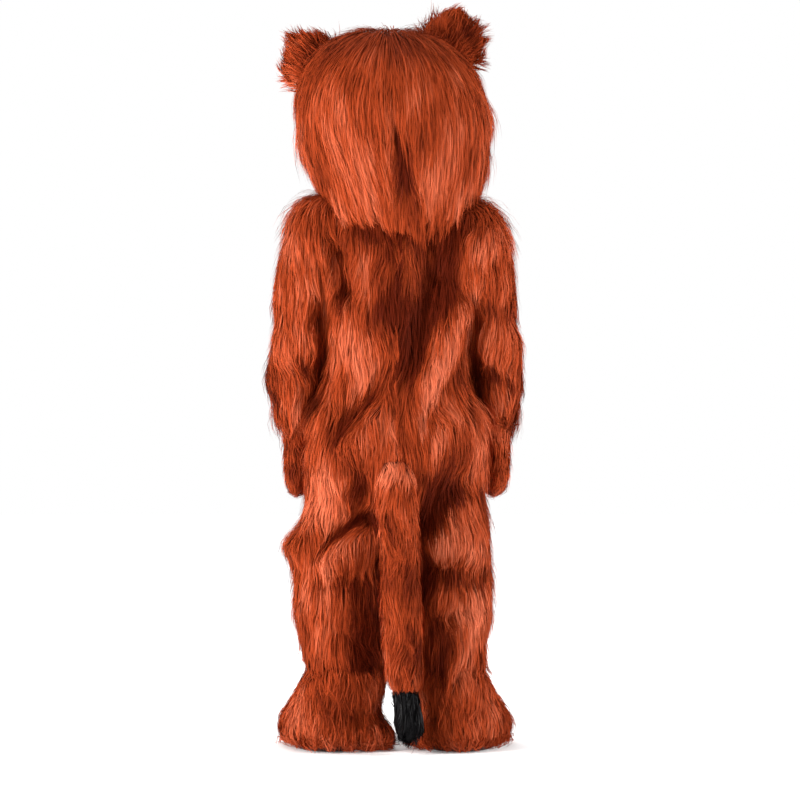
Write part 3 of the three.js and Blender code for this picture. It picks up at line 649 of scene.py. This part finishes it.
def pile_tree():
    """Geometry Nodes tree that grows the pile: locks that follow the lie, gathered in tufts."""
    tree = bpy.data.node_groups.new("pile", "GeometryNodeTree")
    net = Net(tree)
    sockets = [("Cloth", "Geometry"), ("Carrier", "Object"), ("Lock", "Object")]
    sockets += [(name, "Float") for name in (*PILE_COLUMNS, "Floor")]
    for name, kind in [*sockets, ("Seed", "Int"), ("Finish", "Material")]:
        tree.interface.new_socket(name=name, in_out="INPUT", socket_type=f"NodeSocket{kind}")
    tree.interface.new_socket(name="Pile", in_out="OUTPUT", socket_type="NodeSocketGeometry")
    given = net.node("NodeGroupInput").outputs
    place = net.node("GeometryNodeInputPosition").outputs[0]

    def form(name):
        return net.node("GeometryNodeObjectInfo", {"Object": given[name]}).outputs["Geometry"]

    def mark(name, kind="FLOAT"):
        return net.node("GeometryNodeInputNamedAttribute", {"Name": name}, data_type=kind).outputs[0]

    def way(name):
        return mark(name, "FLOAT_VECTOR")

    def sampled(name, at):
        """A direction marked on the carrier, at the spot nearest to a place."""
        where = {"Mesh": carrier, "Value": way(name), "Sample Position": at}
        return net.node("GeometryNodeSampleNearestSurface", where, data_type="FLOAT_VECTOR").outputs["Value"]

    def stored(geometry, name, value, kind=None, domain="POINT"):
        kind = kind or ("FLOAT" if value.type == "VALUE" else "FLOAT_VECTOR")
        what = {"Geometry": geometry, "Name": name, "Value": value}
        return net.node("GeometryNodeStoreNamedAttribute", what, data_type=kind, domain=domain).outputs[0]

    def drawn(low, high, salt, identity=None):
        """A random value for each lock, or for each identity, always the same."""
        kind = "FLOAT" if isinstance(low, float) else "FLOAT_VECTOR"
        made = net.node("FunctionNodeRandomValue", data_type=kind)
        ends = [s for s in made.inputs if s.enabled]
        net.feed(ends[0], low)
        net.feed(ends[1], high)
        if identity is not None:
            net.feed(made.inputs["ID"], identity)
        net.feed(made.inputs["Seed"], net.plus(given["Seed"], salt) if identity is None else salt)
        return next(s for s in made.outputs if s.enabled)

    def drawn_way(size, salt, identity=None):
        return net.scaled(drawn((-1, -1, -1), (1, 1, 1), salt, identity), given[size])

    carrier = form("Carrier")
    roots = net.node("GeometryNodeDistributePointsOnFaces", {
        "Mesh": given["Cloth"], "Density": given["Density"], "Seed": given["Seed"]},
        distribute_method="RANDOM").outputs["Points"]
    spacing = given["Tuft Spacing"]
    tufts = net.node("GeometryNodeDistributePointsOnFaces", {
        "Mesh": carrier, "Distance Min": spacing,
        "Density Max": net.math("DIVIDE", 2.0, net.times(spacing, spacing)), "Seed": 3},
        distribute_method="POISSON").outputs["Points"]
    nearest = net.node("GeometryNodeSampleNearest", {"Geometry": tufts, "Sample Position": place},
                       domain="POINT").outputs["Index"]
    tuft_at = net.node("GeometryNodeSampleIndex", {"Geometry": tufts, "Value": place, "Index": nearest},
                       data_type="FLOAT_VECTOR", domain="POINT").outputs[0]

    # What each lock keeps from its root: its tuft, bends, length and tones.
    bend = net.vector("SUBTRACT", net.noise(place, 9.0, 1.5, Roughness=0.5)["Color"], (0.5, 0.5, 0.5))
    drawn_out = net.vector("MULTIPLY", place, (1.0, 1.0, 0.4))
    at_root = {
        "tuft": net.vector("SUBTRACT", tuft_at, place),
        "tuft_tone": drawn(0.0, 1.0, 11, nearest),
        "sway": drawn_way("Tuft Sway", 17, nearest),
        "bend": net.scaled(bend, given["Wave"]),
        "patch_tone": net.noise(drawn_out, 14.0, 3.0, Roughness=0.62)[0],
        "stray": drawn_way("Stray", 23),
        "reach": net.times(net.times(given["Length"], drawn(*LENGTHS, 29)), mark("trim")),
        "rise": net.math("POWER", drawn(0.0, 1.0, 31), 0.7),
        "walk0": place,
    }
    geometry = roots
    for name, value in at_root.items():
        geometry = stored(geometry, name, value)

    # Each lock walks over the cloth, step by step, and hangs free where the cloth ends.
    step_length = net.math("DIVIDE", mark("reach"), float(STEPS))
    turned = net.added(way("bend"), way("sway"), way("stray"))
    for step in range(1, STEPS + 1):
        before = way(f"walk{step - 1}")
        heading = net.vector("NORMALIZE", net.added(sampled("lie", before), turned))
        wanted = net.added(before, net.scaled(heading, step_length))
        touch = net.node("GeometryNodeProximity", target_element="FACES")
        net.feed(touch.inputs[0], carrier)
        net.feed(next(s for s in touch.inputs if "Position" in s.name), wanted)
        off = net.vector("NORMALIZE", net.vector("SUBTRACT", wanted, touch.outputs["Position"]))
        outward = net.vector("NORMALIZE", sampled("up", wanted))
        height = net.math("ABSOLUTE", net.vector("DOT_PRODUCT", off, outward))
        distance = touch.outputs["Distance"]
        beside = net.times(net.math("LESS_THAN", height, 0.5), net.math("GREATER_THAN", distance, TOUCHING))
        above = net.math("GREATER_THAN", distance, given["Hang"])
        flared = net.scaled(outward, net.times(step_length, given["Flare"]))
        walked = net.node("GeometryNodeSwitch", {
            "Switch": net.math("MAXIMUM", beside, above), "False": touch.outputs["Position"],
            "True": net.added(wanted, flared)}, input_type="VECTOR").outputs[0]
        geometry = stored(geometry, f"walk{step}", walked)

    # Its points stand off the cloth, are drawn to the middle of the tuft, and stay above the floor.
    loose = net.math("POWER", drawn(0.0, 1.0, 53), LOOSE_POWER)
    stand = net.plus(LEAST_RISE, net.times(mark("rise"), RISE_SPREAD))
    lift = net.times(given["Height"], net.plus(stand, loose))
    lift = net.times(net.times(lift, net.math("MINIMUM", mark("trim"), 1.0)), mark("puff"))
    lowest = net.combined(-9.0, -9.0, given["Floor"])
    for step in range(STEPS + 1):
        walked = way(f"walk{step}")
        raised = net.scaled(sampled("up", walked), net.times(lift, LOCK_RISE[step]))
        gathered = net.scaled(way("tuft"), net.times(given["Tuft Pull"], LOCK_GATHER[step]))
        reached = net.added(walked, raised, gathered)
        geometry = stored(geometry, f"point{step}", net.vector("MAXIMUM", reached, lowest))
    up = sampled("up", way("walk1"))
    ahead = net.vector("SUBTRACT", way("walk2"), way("walk0"))
    across = net.vector("NORMALIZE", net.vector("CROSS_PRODUCT", up, ahead))
    roll = net.scaled(up, net.times(drawn(-1.0, 1.0, 37), given["Roll"]))
    across = net.vector("NORMALIZE", net.added(across, roll))
    wide = net.times(given["Width"], drawn(*HALF_WIDTHS, 41))
    geometry = stored(geometry, "across", net.scaled(across, wide))
    tone = net.plus(net.times(mark("tuft_tone"), TUFT_TONE), net.times(drawn(0.0, 1.0, 43), LOCK_TONE))
    patches = net.times(net.math("SUBTRACT", mark("patch_tone"), 0.5), given["Patches"])
    # Painted shade and light from the cloth's marks makes each lock's tone darker or lighter.
    tone = net.math("ADD", net.plus(net.plus(tone, patches), mark("dim")), BASE_TONE, clamp=True)
    geometry = stored(geometry, "tone", tone)

    # One lock on each root, bent to its points, with its tone and height written on the map.
    def after(kind, geometry, inputs=(), first="Geometry"):
        return net.node(f"GeometryNode{kind}", {first: geometry, **dict(inputs)}).outputs[0]

    grown = after("InstanceOnPoints", geometry, {"Instance": form("Lock")}, "Points")
    parts = [net.scaled(way(f"point{step}"), mark(f"at{step}")) for step in range(STEPS + 1)]
    at = net.added(*parts, net.scaled(way("across"), mark("side")))
    moved = after("SetPosition", after("RealizeInstances", grown), {"Position": at})
    start = net.plus(TONE_START, net.times(mark("side"), LOCK_SPAN))
    column = net.plus(net.times(mark("tone"), TONE_SPAN), start)
    rung = net.plus(TIP_START, net.times(mark("along"), TIP_SPAN))
    marked = stored(moved, "OFBake", net.combined(column, rung), "FLOAT2", "CORNER")
    net.node("NodeGroupOutput", {0: after("SetMaterial", marked, {"Material": given["Finish"]})})
    return tree


lock = lock_template()
pile = pile_tree()
SCRATCH = ("tuft", "tuft_tone", "sway", "bend", "patch_tone", "stray", "reach", "rise", "across", "tone",
           "along", "side", "lie", "up", "trim", "dim", "puff")


def marked_mesh(name, form, used, faces):
    """The surface, with the lie, outward direction, trim, painted shade and light, and puff of the pile at
    each point.
    """
    mesh = new_mesh(name, form["points"][used], faces)
    for label in ("lie", "up"):
        mark = mesh.attributes.new(label, "FLOAT_VECTOR", "POINT")
        mark.data.foreach_set("vector", form[label][used].astype(np.float32).ravel())
    for label in ("trim", "dim", "puff"):
        mark = mesh.attributes.new(label, "FLOAT", "POINT")
        mark.data.foreach_set("value", form[label][used].astype(np.float32))
    return mesh


def grow_pile(name, cloth_mesh, carrier, sizes, finish, seed):
    """The pile on one panel, as a plain mesh of its own."""
    obj = placed(name, cloth_mesh)
    grow = obj.modifiers.new("Pile", "NODES")
    grow.node_group = pile
    values = dict(sizes, Carrier=carrier, Lock=lock, Seed=seed, Finish=finish, Floor=FLOOR + CLEARANCE)
    for item in pile.interface.items_tree:
        if item.in_out == "INPUT" and item.name in values:
            grow[item.identifier] = values[item.name]
    mesh = settled(obj)
    for attribute in [a.name for a in mesh.attributes]:
        if attribute in SCRATCH or attribute.startswith(("walk", "point", "at")):
            mesh.attributes.remove(mesh.attributes[attribute])
    mesh.name = name
    return placed(name, mesh)


# ---------------------------------------------------------------- finishes

def material(name, specular):
    """A new material, its net, and the inputs of its shader."""
    made = bpy.data.materials.new(name)
    made.use_nodes = True
    made.node_tree.nodes.clear()
    net = Net(made.node_tree)
    shader = net.node("ShaderNodeBsdfPrincipled", {"Specular IOR Level": specular})
    net.node("ShaderNodeOutputMaterial", {"Surface": shader.outputs[0]})
    return made, net, shader.inputs


def effect(name, inputs, outputs):
    """A new shader node group with named inputs (name, kind, value) and outputs (name, kind)."""
    tree = bpy.data.node_groups.new(name, "ShaderNodeTree")
    for label, kind, value in inputs:
        tree.interface.new_socket(
            name=label, in_out="INPUT", socket_type=f"NodeSocket{kind}").default_value = value
    for label, kind in outputs:
        tree.interface.new_socket(name=label, in_out="OUTPUT", socket_type=f"NodeSocket{kind}")
    net = Net(tree)
    return tree, net, net.node("NodeGroupInput").outputs, net.node("NodeGroupOutput").inputs


def tint(colour):
    return (*colour, 1)


BLACK, GREY, WHITE = (tint([level] * 3) for level in (0, 0.5, 1))


def strands_effect():
    """Tone of each lock of pile, its fine streaks, and the shade at its root."""
    tree, net, given, out = effect("pile_strands", [
        ("Spread", "Vector", (0, 0, 0)), ("Dark", "Color", BLACK), ("Middle", "Color", GREY),
        ("Light", "Color", WHITE), ("Root Shade", "Float", 0.4)], [("Colour", "Color"), ("Streaks", "Float")])
    tone, along, _ = net.node("ShaderNodeSeparateXYZ", {0: given["Spread"]}).outputs
    lower = net.math("MULTIPLY", tone, 2.0, clamp=True)
    upper = net.math("SUBTRACT", net.times(tone, 2.0), 1.0, clamp=True)
    colour = net.blend(upper, net.blend(lower, given["Dark"], given["Middle"]), given["Light"])
    fine = net.noise(net.combined(net.times(tone, 260.0), net.times(along, 3.0)), 1.0, 2.0)[0]
    # Painted shade: each lock is darker towards its root, where the locks shade one another.
    painted_root_shade = net.remap(along, 0.0, 0.75, given["Root Shade"])
    strength = net.times(painted_root_shade, net.plus(0.72, net.times(fine, 0.56)))
    net.feed(out["Colour"], net.dimmed(colour, strength))
    net.feed(out["Streaks"], fine)
    return tree


def mottle_effect():
    """Cloudy change between two colours, as from dust, dye and handling."""
    tree, net, given, out = effect("mottle", [
        ("Scale", "Float", 40.0), ("Dark", "Color", BLACK), ("Light", "Color", WHITE)],
        [("Colour", "Color"), ("Cloud", "Float")])
    cloud = net.noise(net.place(), given["Scale"], 4.0)[0]
    net.feed(out["Colour"], net.blend(net.remap(cloud, 0.3, 0.72), given["Dark"], given["Light"]))
    net.feed(out["Cloud"], cloud)
    return tree


def weave_effect():
    """The height of crossing threads."""
    tree, net, given, out = effect("weave", [("Scale", "Float", 700.0)], [("Height", "Float")])
    place = net.place()
    threads = [net.node("ShaderNodeTexWave", {"Vector": place, "Scale": given["Scale"]},
                        bands_direction=direction).outputs["Fac"] for direction in "XYZ"]
    net.feed(out["Height"], net.math("MAXIMUM", threads[0], net.math("MAXIMUM", threads[1], threads[2])))
    return tree


STRANDS = strands_effect()
MOTTLE = mottle_effect()
WEAVE = weave_effect()


def clouded(net, scale, dark, light):
    """The colour and cloud of a mottle between two colours."""
    given = {"Scale": scale, "Dark": tint(dark), "Light": tint(light)}
    return net.node("ShaderNodeGroup", given, node_tree=MOTTLE).outputs


def embossed(net, shader, height, strength, relief):
    bump = net.node("ShaderNodeBump", {"Height": height, "Strength": strength, "Distance": relief})
    net.feed(shader["Normal"], bump.outputs[0])


def fur_finish(name, dark, middle, light, root_shade, roughness, specular):
    """Silky pile: each lock has its own tone, with painted shade at its root, lighter to the tip."""
    made, net, shader = material(name, specular)
    strands = net.node("ShaderNodeGroup", {
        "Spread": net.node("ShaderNodeUVMap", uv_map="OFBake").outputs[0], "Dark": tint(dark),
        "Middle": tint(middle), "Light": tint(light), "Root Shade": root_shade}, node_tree=STRANDS).outputs
    net.feed(shader["Base Color"], strands["Colour"])
    net.feed(shader["Roughness"], net.plus(roughness, net.times(strands["Streaks"], 0.2)))
    shader["Sheen Weight"].default_value = 0.20
    shader["Sheen Roughness"].default_value = 0.35
    shader["Sheen Tint"].default_value = tint(light)
    return made


def woven_finish(name, dark, light, scale, roughness, cloud=30.0, relief=0.0008, specular=0.04):
    """Cloth or sheet with crossing threads: fur backing, closure tape, and the tread of the soles."""
    made, net, shader = material(name, specular)
    cloudy = clouded(net, cloud, dark, light)
    threads = net.node("ShaderNodeGroup", {"Scale": scale}, node_tree=WEAVE).outputs["Height"]
    # Painted shade: the colour is darker where the threads lie low, between them.
    net.feed(shader["Base Color"], net.dimmed(cloudy["Colour"], net.plus(0.55, net.times(threads, 0.45))))
    net.feed(shader["Roughness"], net.plus(roughness, net.times(cloudy["Cloud"], 0.15)))
    embossed(net, shader, threads, 0.5, relief)
    return made


def vinyl_finish(name, dark, light):
    """Soft black vinyl with a fine leather grain."""
    made, net, shader = material(name, 0.22)
    cloudy = clouded(net, 40.0, dark, light)
    cells = net.node("ShaderNodeTexVoronoi", {"Vector": net.place(), "Scale": 420.0},
                     feature="DISTANCE_TO_EDGE")
    net.feed(shader["Base Color"], cloudy["Colour"])
    net.feed(shader["Roughness"], net.plus(0.28, net.times(cloudy["Cloud"], 0.25)))
    embossed(net, shader, cells.outputs["Distance"], 0.35, 0.0006)
    return made


def mesh_finish(name, hole, wire):
    """Black see-through mesh over a dark dome: small round holes in rows."""
    made, net, shader = material(name, 0.14)
    cloudy = clouded(net, 60.0, [c * 0.7 for c in wire], wire)
    holes = net.node("ShaderNodeTexVoronoi", {"Vector": net.place(), "Scale": 480.0, "Randomness": 0.0},
                     feature="F1")
    ring = net.remap(holes.outputs["Distance"], 0.28, 0.42)
    net.feed(shader["Base Color"], net.blend(ring, tint(hole), cloudy["Colour"]))
    net.feed(shader["Roughness"], net.math("SUBTRACT", 0.5, net.times(ring, 0.3)))
    embossed(net, shader, ring, 0.4, 0.0005)
    return made


rust_pile = fur_finish("rust_pile", (0.066, 0.0052, 0.0009), (0.335, 0.0440, 0.0100), (0.640, 0.1500, 0.0700),
                       0.66, 0.55, 0.03)
black_pile = fur_finish("black_pile", (0.0010, 0.0008, 0.0010), (0.0022, 0.0018, 0.0022),
                        (0.007, 0.006, 0.007), 0.5, 0.35, 0.10)
rust_backing = woven_finish("rust_backing", (0.050, 0.008, 0.004), (0.100, 0.017, 0.007), 160.0, 0.85, 600.0)
black_backing = woven_finish("black_backing", (0.002, 0.0015, 0.002), (0.006, 0.005, 0.006), 160.0, 0.85,
                             600.0)
nose_vinyl = vinyl_finish("nose_vinyl", (0.008, 0.007, 0.007), (0.020, 0.017, 0.017))
eye_mesh = mesh_finish("eye_mesh", (0.001, 0.001, 0.001), (0.009, 0.008, 0.008))
closure_tape = woven_finish("closure_tape", (0.07, 0.014, 0.008), (0.16, 0.034, 0.018), 700.0, 0.8)
sole_rubber = woven_finish("sole_rubber", (0.020, 0.017, 0.016), (0.046, 0.040, 0.037), 60.0, 0.72,
                           specular=0.3)


# ---------------------------------------------------------------- furred pieces

BOX_MARGIN = 0.02       # a face is matched with the solids whose box it is this near to


def solid_tree(node):
    """Nearest-face search on one solid."""
    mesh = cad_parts[node].data
    return BVHTree.FromPolygons([v.co for v in mesh.vertices], [p.vertices[:] for p in mesh.polygons])


def panel_of(points, faces, nodes):
    """Which of the named solids each face lies on."""
    centre = points[faces].mean(axis=1)
    if len(nodes) == 1:
        return np.zeros(len(faces), dtype=int)
    gaps = np.full((len(nodes), len(faces)), 9.0)
    for row, node in enumerate(nodes):
        search = solid_tree(node)
        low, high = (np.array(corner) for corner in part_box(node))
        near = ((centre > low - BOX_MARGIN) & (centre < high + BOX_MARGIN)).all(axis=1)
        gaps[row, near] = [search.find_nearest(c)[3] for c in centre[near].tolist()]
    return gaps.argmin(axis=0)


def all_alike(points, normal):
    return np.ones(len(points))


def surface(nodes, voxel, rounds, sink, bones=None, creases=None, pouches=(), tones=None, drop=0.0,
            ripple=0.0, seed_of_ripple=1, lie=downward, keep=None, hold=None, foot=False, trim=all_alike,
            puff=all_alike, shift=(0, 0, 0)):
    """Points, faces, panel of each face, and the marks for the pile, of one furred form."""
    points, faces = softened(nodes, voxel, rounds)
    if keep is not None:
        points, faces = kept(points, faces, keep(unit(crossed(points, faces))))
    panel = panel_of(points, faces, nodes)
    if bones:
        points, faces, panel = outside(points, faces, panel, bones)
    if creases:
        points = creased(points, faces, creases, hold)
    if pouches:
        points = pouched(points, faces, pouches)
    if foot:
        points = tucked(points)
    if ripple:
        points = rippled(points, faces, ripple, seed_of_ripple)
    points = points - point_normals(points, faces) * sink + np.array(shift)
    points[:, 2] = np.maximum(points[:, 2], FLOOR + CLEARANCE)
    up = point_normals(points, faces)
    return {"points": points, "faces": faces, "panel": panel, "up": up, "lie": laid(lie(points, up), up),
            "dim": painted_shading_of(points, up, tones or {}, drop), "trim": trim(points, up), "puff": puff(points, up)}


def backing_piece(name, points, faces, share, finish, thick):
    """The cloth under the pile: the surface with few faces, and its thickness."""
    obj = placed(name + "_soft", new_mesh(name, points, faces))
    obj.modifiers.new("Fewer", "DECIMATE").ratio = share
    if thick:
        wall = obj.modifiers.new("Wall", "SOLIDIFY")
        wall.thickness = thick
        wall.offset = -1
    made = settled(obj)
    made.name = name
    made.materials.append(finish)
    return placed(name, made)


def furred(kind, seed, nodes, voxel, rounds, share=0.2, thick=BACKING, finish=rust_pile, backing=rust_backing,
           slot="rust_fur", **form_of):
    """Cloth and pile for every panel of one furred form. They stand for the form's solids."""
    form = surface(nodes, voxel, rounds, SINK[kind], **form_of)
    everything = np.arange(len(form["points"]))
    carrier = placed("carrier", marked_mesh("carrier", form, everything, form["faces"]))
    sizes = dict(zip(PILE_COLUMNS, PILE_SIZES[kind]))
    for index, node in enumerate(nodes):
        used, faces = np.unique(form["faces"][form["panel"] == index], return_inverse=True)
        faces = faces.reshape(-1, 4)
        mesh = marked_mesh(node, form, used, faces)
        fur = grow_pile(f"{node}_pile", mesh, carrier, sizes, finish, seed * 10 + index)
        cloth = backing_piece(f"{node}_cloth", form["points"][used], faces, share, backing, thick)
        for piece in (cloth, fur):
            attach(piece, "root")
        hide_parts(node)
    bpy.data.objects.remove(carrier)


def crown_share(points):
    """How far a point belongs to the tuft on top of the head, 0 to 1."""
    across = np.exp(-((points[:, 0] - 0.016) / 0.040) ** 2 - (points[:, 1] / 0.060) ** 2)
    return across * ramp(0.36, 0.40, points[:, 2])


def cheek_tufts(points, normal, left_height, right_heights, left_half, right_half):
    """Shares of the tufts at the widest part of the head: one on the left, two on the right."""
    x, _, z = points.T
    side = ramp(0.6, 0.95, np.abs(normal[:, 0]))
    right = bell(z, right_half, right_heights[0]) + bell(z, right_half, right_heights[1])
    return side, bell(z, left_half, left_height) * (x > 0), right * (x < 0)


def cheek_puff(points, normal):
    """Tufts that stand off at the widest part of the head and on top of it."""
    side, left, right = cheek_tufts(points, normal, 0.170, (0.245, 0.130), 0.030, 0.022)
    return 1 + side * (1.1 * left + right) + 2.0 * crown_share(points)


def ragged_hem(points, normal):
    """Locks of uneven length round the hem of the head, and short ones above the tufts."""
    side, left, right = cheek_tufts(points, normal, 0.215, (0.280, 0.165), 0.030, 0.030)
    low = 1 - ramp(0.02, 0.12, points[:, 2])
    turn = np.arctan2(points[:, 1], points[:, 0])
    back = bell(turn, 0.30, np.pi / 2)
    uneven = 0.22 * np.sin(turn * 31 + 1) * np.sin(turn * 13) + 0.16 * np.sin(turn * 67)
    tufts = side * (left + right)
    return 1 + low * (uneven - 0.26 + 0.14 * back) - 0.45 * tufts - 0.5 * crown_share(points)


def shoulder_puff(points, normal):
    """The pile stands off a little more at the shoulders, the cuffs and over the outer thighs."""
    side = ramp(0.5, 0.95, np.abs(normal[:, 0]))
    cuff = bell(points[:, 2], 0.025, -0.540)
    thigh = 1 - ramp(-0.85, -0.70, points[:, 2])
    width = np.abs(points[:, 0])
    shoulder = ramp(0.12, 0.17, width) * (1 - ramp(0.24, 0.28, width))
    shoulder *= ramp(-0.15, -0.07, points[:, 2])
    return 1 + side * (1.3 * cuff + 0.35 * thigh) + 1.1 * shoulder


def foot_puff(points, normal):
    """The pile flares out where it meets the floor."""
    return 1 + 0.8 * (1 - ramp(-1.425, -1.350, points[:, 2]))


def tail_trim(points, normal):
    """The pile is short where the tail meets its tuft."""
    return 1 - 0.86 * (1 - ramp(-1.28, -1.19, points[:, 2]))


def closure_hold(points):
    """Where creases may go: not over the closure down the middle of the back."""
    over = (points[:, 1] > 0) & (points[:, 2] > -0.70)
    return np.where(over, ramp(0.012, 0.045, np.abs(points[:, 0])), 1.0)


suit_nodes = [f"{name}_{word}" for name in ("body_front", "body_back", "sleeve") for word in SIDES]
furred("suit", 1, suit_nodes, 0.008, 5, 0.12, bones=[BODY_BONES] * 4 + [sleeve_bones(1), sleeve_bones(-1)],
       creases=SUIT_CREASES, pouches=SUIT_POUCHES, tones=SUIT_PAINTED_SHADING, drop=0.036, ripple=0.0020,
       seed_of_ripple=5, lie=suit_lie, hold=closure_hold, puff=shoulder_puff)
furred("head", 2, ["head_front", "head_back_left", "head_back_right"], 0.008, 6, 0.12, bones=[HEAD_BONES] * 3,
       creases=HEAD_CREASES, tones=HEAD_PAINTED_SHADING, drop=0.045, ripple=0.0014, seed_of_ripple=6, lie=head_lie,
       trim=ragged_hem, puff=cheek_puff)
for number, (word, side) in enumerate(SIDES.items()):
    furred("paw", 3 + number, [f"paw_{word}"], 0.006, 4, 0.16, bones=[paw_bones(side)])
    furred("foot", 5 + number, [f"foot_{word}"], 0.007, 4, 0.16, bones=[foot_bones(side)],
           pouches=FOOT_POUCHES, foot=True, lie=foot_lie(side), puff=foot_puff)
    furred("ear", 7 + number, [f"ear_{word}_front", f"ear_{word}_back"], 0.005, 4, thick=0, tones=EAR_PAINTED_SHADING,
           lie=ear_lie(EAR_ROOTS[word]), shift=EAR_SHIFTS[word])
furred("muzzle", 9, ["muzzle"], 0.006, 3, lie=muzzle_lie, keep=lambda normal: normal[:, 1] < 0.35)
furred("tail", 10, ["tail"], 0.006, 4, thick=0, tones=TAIL_PAINTED_SHADING, lie=tail_lie, trim=tail_trim,
       shift=TAIL_SHIFT)
furred("tuft", 11, ["tail_tuft"], 0.005, 4, 0.3, 0, black_pile, black_backing, "black_fur", shift=TUFT_SHIFT)
bpy.data.objects.remove(lock)


# ---------------------------------------------------------------- face, closure and soles

def smooth_piece(name, nodes, voxel, rounds, finish):
    """A moulded piece: the solid rounded off, with even faces."""
    made = new_mesh(name, *softened(nodes, voxel, rounds))
    made.materials.append(finish)
    obj = placed(name, made)
    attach(obj, "root")
    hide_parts(*nodes)
    return obj


def sole_piece(name):
    """The tread under a foot, a little inside the edge of the fur."""
    mesh = merged_copy([name])
    low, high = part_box(name)
    for axis in (0, 1):
        middle = (low[axis] + high[axis]) / 2
        share = 1 - 2 * SOLE_INSET / (high[axis] - low[axis])
        for point in mesh.vertices:
            point.co[axis] = middle + (point.co[axis] - middle) * share
    mesh.name = f"{name}_tread"
    mesh.materials.clear()
    mesh.materials.append(sole_rubber)
    obj = placed(mesh.name, mesh)
    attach(obj, "root")
    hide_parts(name)


smooth_piece("nose_pad", ["nose"], 0.0035, 3, nose_vinyl)
for word in SIDES:
    smooth_piece(f"eye_{word}_dome", [f"eye_{word}"], 0.003, 3, eye_mesh)
for mesh_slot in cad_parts["back_zip"].material_slots:
    mesh_slot.link = "OBJECT"
    mesh_slot.material = closure_tape
for word in SIDES:
    sole_piece(f"sole_{word}")


# ---------------------------------------------------------------- floor, light and camera

FLOOR_HALF = 14.0       # from the middle of the studio floor to its edge
FLOOR_GLOW = 0.13       # how much the floor glows under the costume
GLOW_NEAR, GLOW_FAR = 0.5, 2.2  # between these distances it grows to a full white


def floor_finish(name, colour):
    """A plain floor that fades into the white behind it."""
    made, net, shader = material(name, 0.1)
    cloudy = clouded(net, 3.0, [c * 0.985 for c in colour], colour)
    net.feed(shader["Base Color"], cloudy["Colour"])
    away = net.vector("LENGTH", net.vector("MULTIPLY", net.place(), (1, 1, 0)))
    net.feed(shader["Emission Strength"], net.remap(away, GLOW_NEAR, GLOW_FAR, FLOOR_GLOW))
    shader["Roughness"].default_value = 0.9
    shader["Emission Color"].default_value = WHITE
    return made


def floor_piece():
    corners = np.array([(-1, -1), (1, -1), (1, 1), (-1, 1)]) * FLOOR_HALF
    mesh = new_mesh("floor", np.column_stack([corners, [FLOOR] * 4]), np.array([(0, 1, 2, 3)]))
    mesh.materials.append(floor_finish("pale_floor", (0.86, 0.86, 0.86)))
    obj = placed("floor", mesh)


def softbox(name, place, aim, width, height, watts, colour=(1, 1, 1)):
    lamp = bpy.data.lights.new(name, "AREA")
    lamp.shape = "RECTANGLE"
    lamp.size = width
    lamp.size_y = height
    lamp.energy = watts
    lamp.color = colour
    obj = placed(name, lamp)
    obj.location = place
    obj.rotation_mode = "QUATERNION"
    obj.rotation_quaternion = (Vector(aim) - Vector(place)).to_track_quat("-Z", "Y")


floor_piece()
softbox("softbox_left", (2.6, 1.9, -0.30), (0, 0, -0.20), 0.9, 1.7, 190, (1.0, 0.975, 0.96))
softbox("softbox_right", (-2.8, 0.9, -0.10), (0, 0, -0.25), 0.9, 1.7, 120)
softbox("softbox_top", (0.3, 0.2, 2.6), (0, 0, -0.3), 2.2, 2.2, 60)
softbox("softbox_front", (0.6, -3.2, 0.4), (0, 0, -0.4), 2.4, 2.4, 90)

SKY_GLOW = 0.26         # strength of the light from all round; the camera sees plain white
sky = bpy.data.worlds.new("studio")
bpy.context.scene.world = sky
sky.use_nodes = True
sky.node_tree.nodes.clear()
air = Net(sky.node_tree)
seen = air.node("ShaderNodeLightPath").outputs["Is Camera Ray"]
glow, white = (air.node("ShaderNodeBackground", {"Color": WHITE, "Strength": strength}).outputs[0]
               for strength in (SKY_GLOW, 1.0))
both = air.node("ShaderNodeMixShader", {0: seen, 1: glow, 2: white}).outputs[0]
air.node("ShaderNodeOutputWorld", {"Surface": both})

LENS_MM, SENSOR_MM = 139.6, 36
camera = bpy.data.cameras.new("camera")
camera.lens = LENS_MM
camera.sensor_width = SENSOR_MM
camera.shift_y = -0.021
camera.clip_end = 60
eye = placed("camera", camera)
eye.location = (-0.008, 8.0, -0.50)
eye.rotation_euler = (math.radians(90), 0, math.radians(180))
bpy.context.scene.camera = eye
bpy.context.scene.view_settings.view_transform = "Standard"
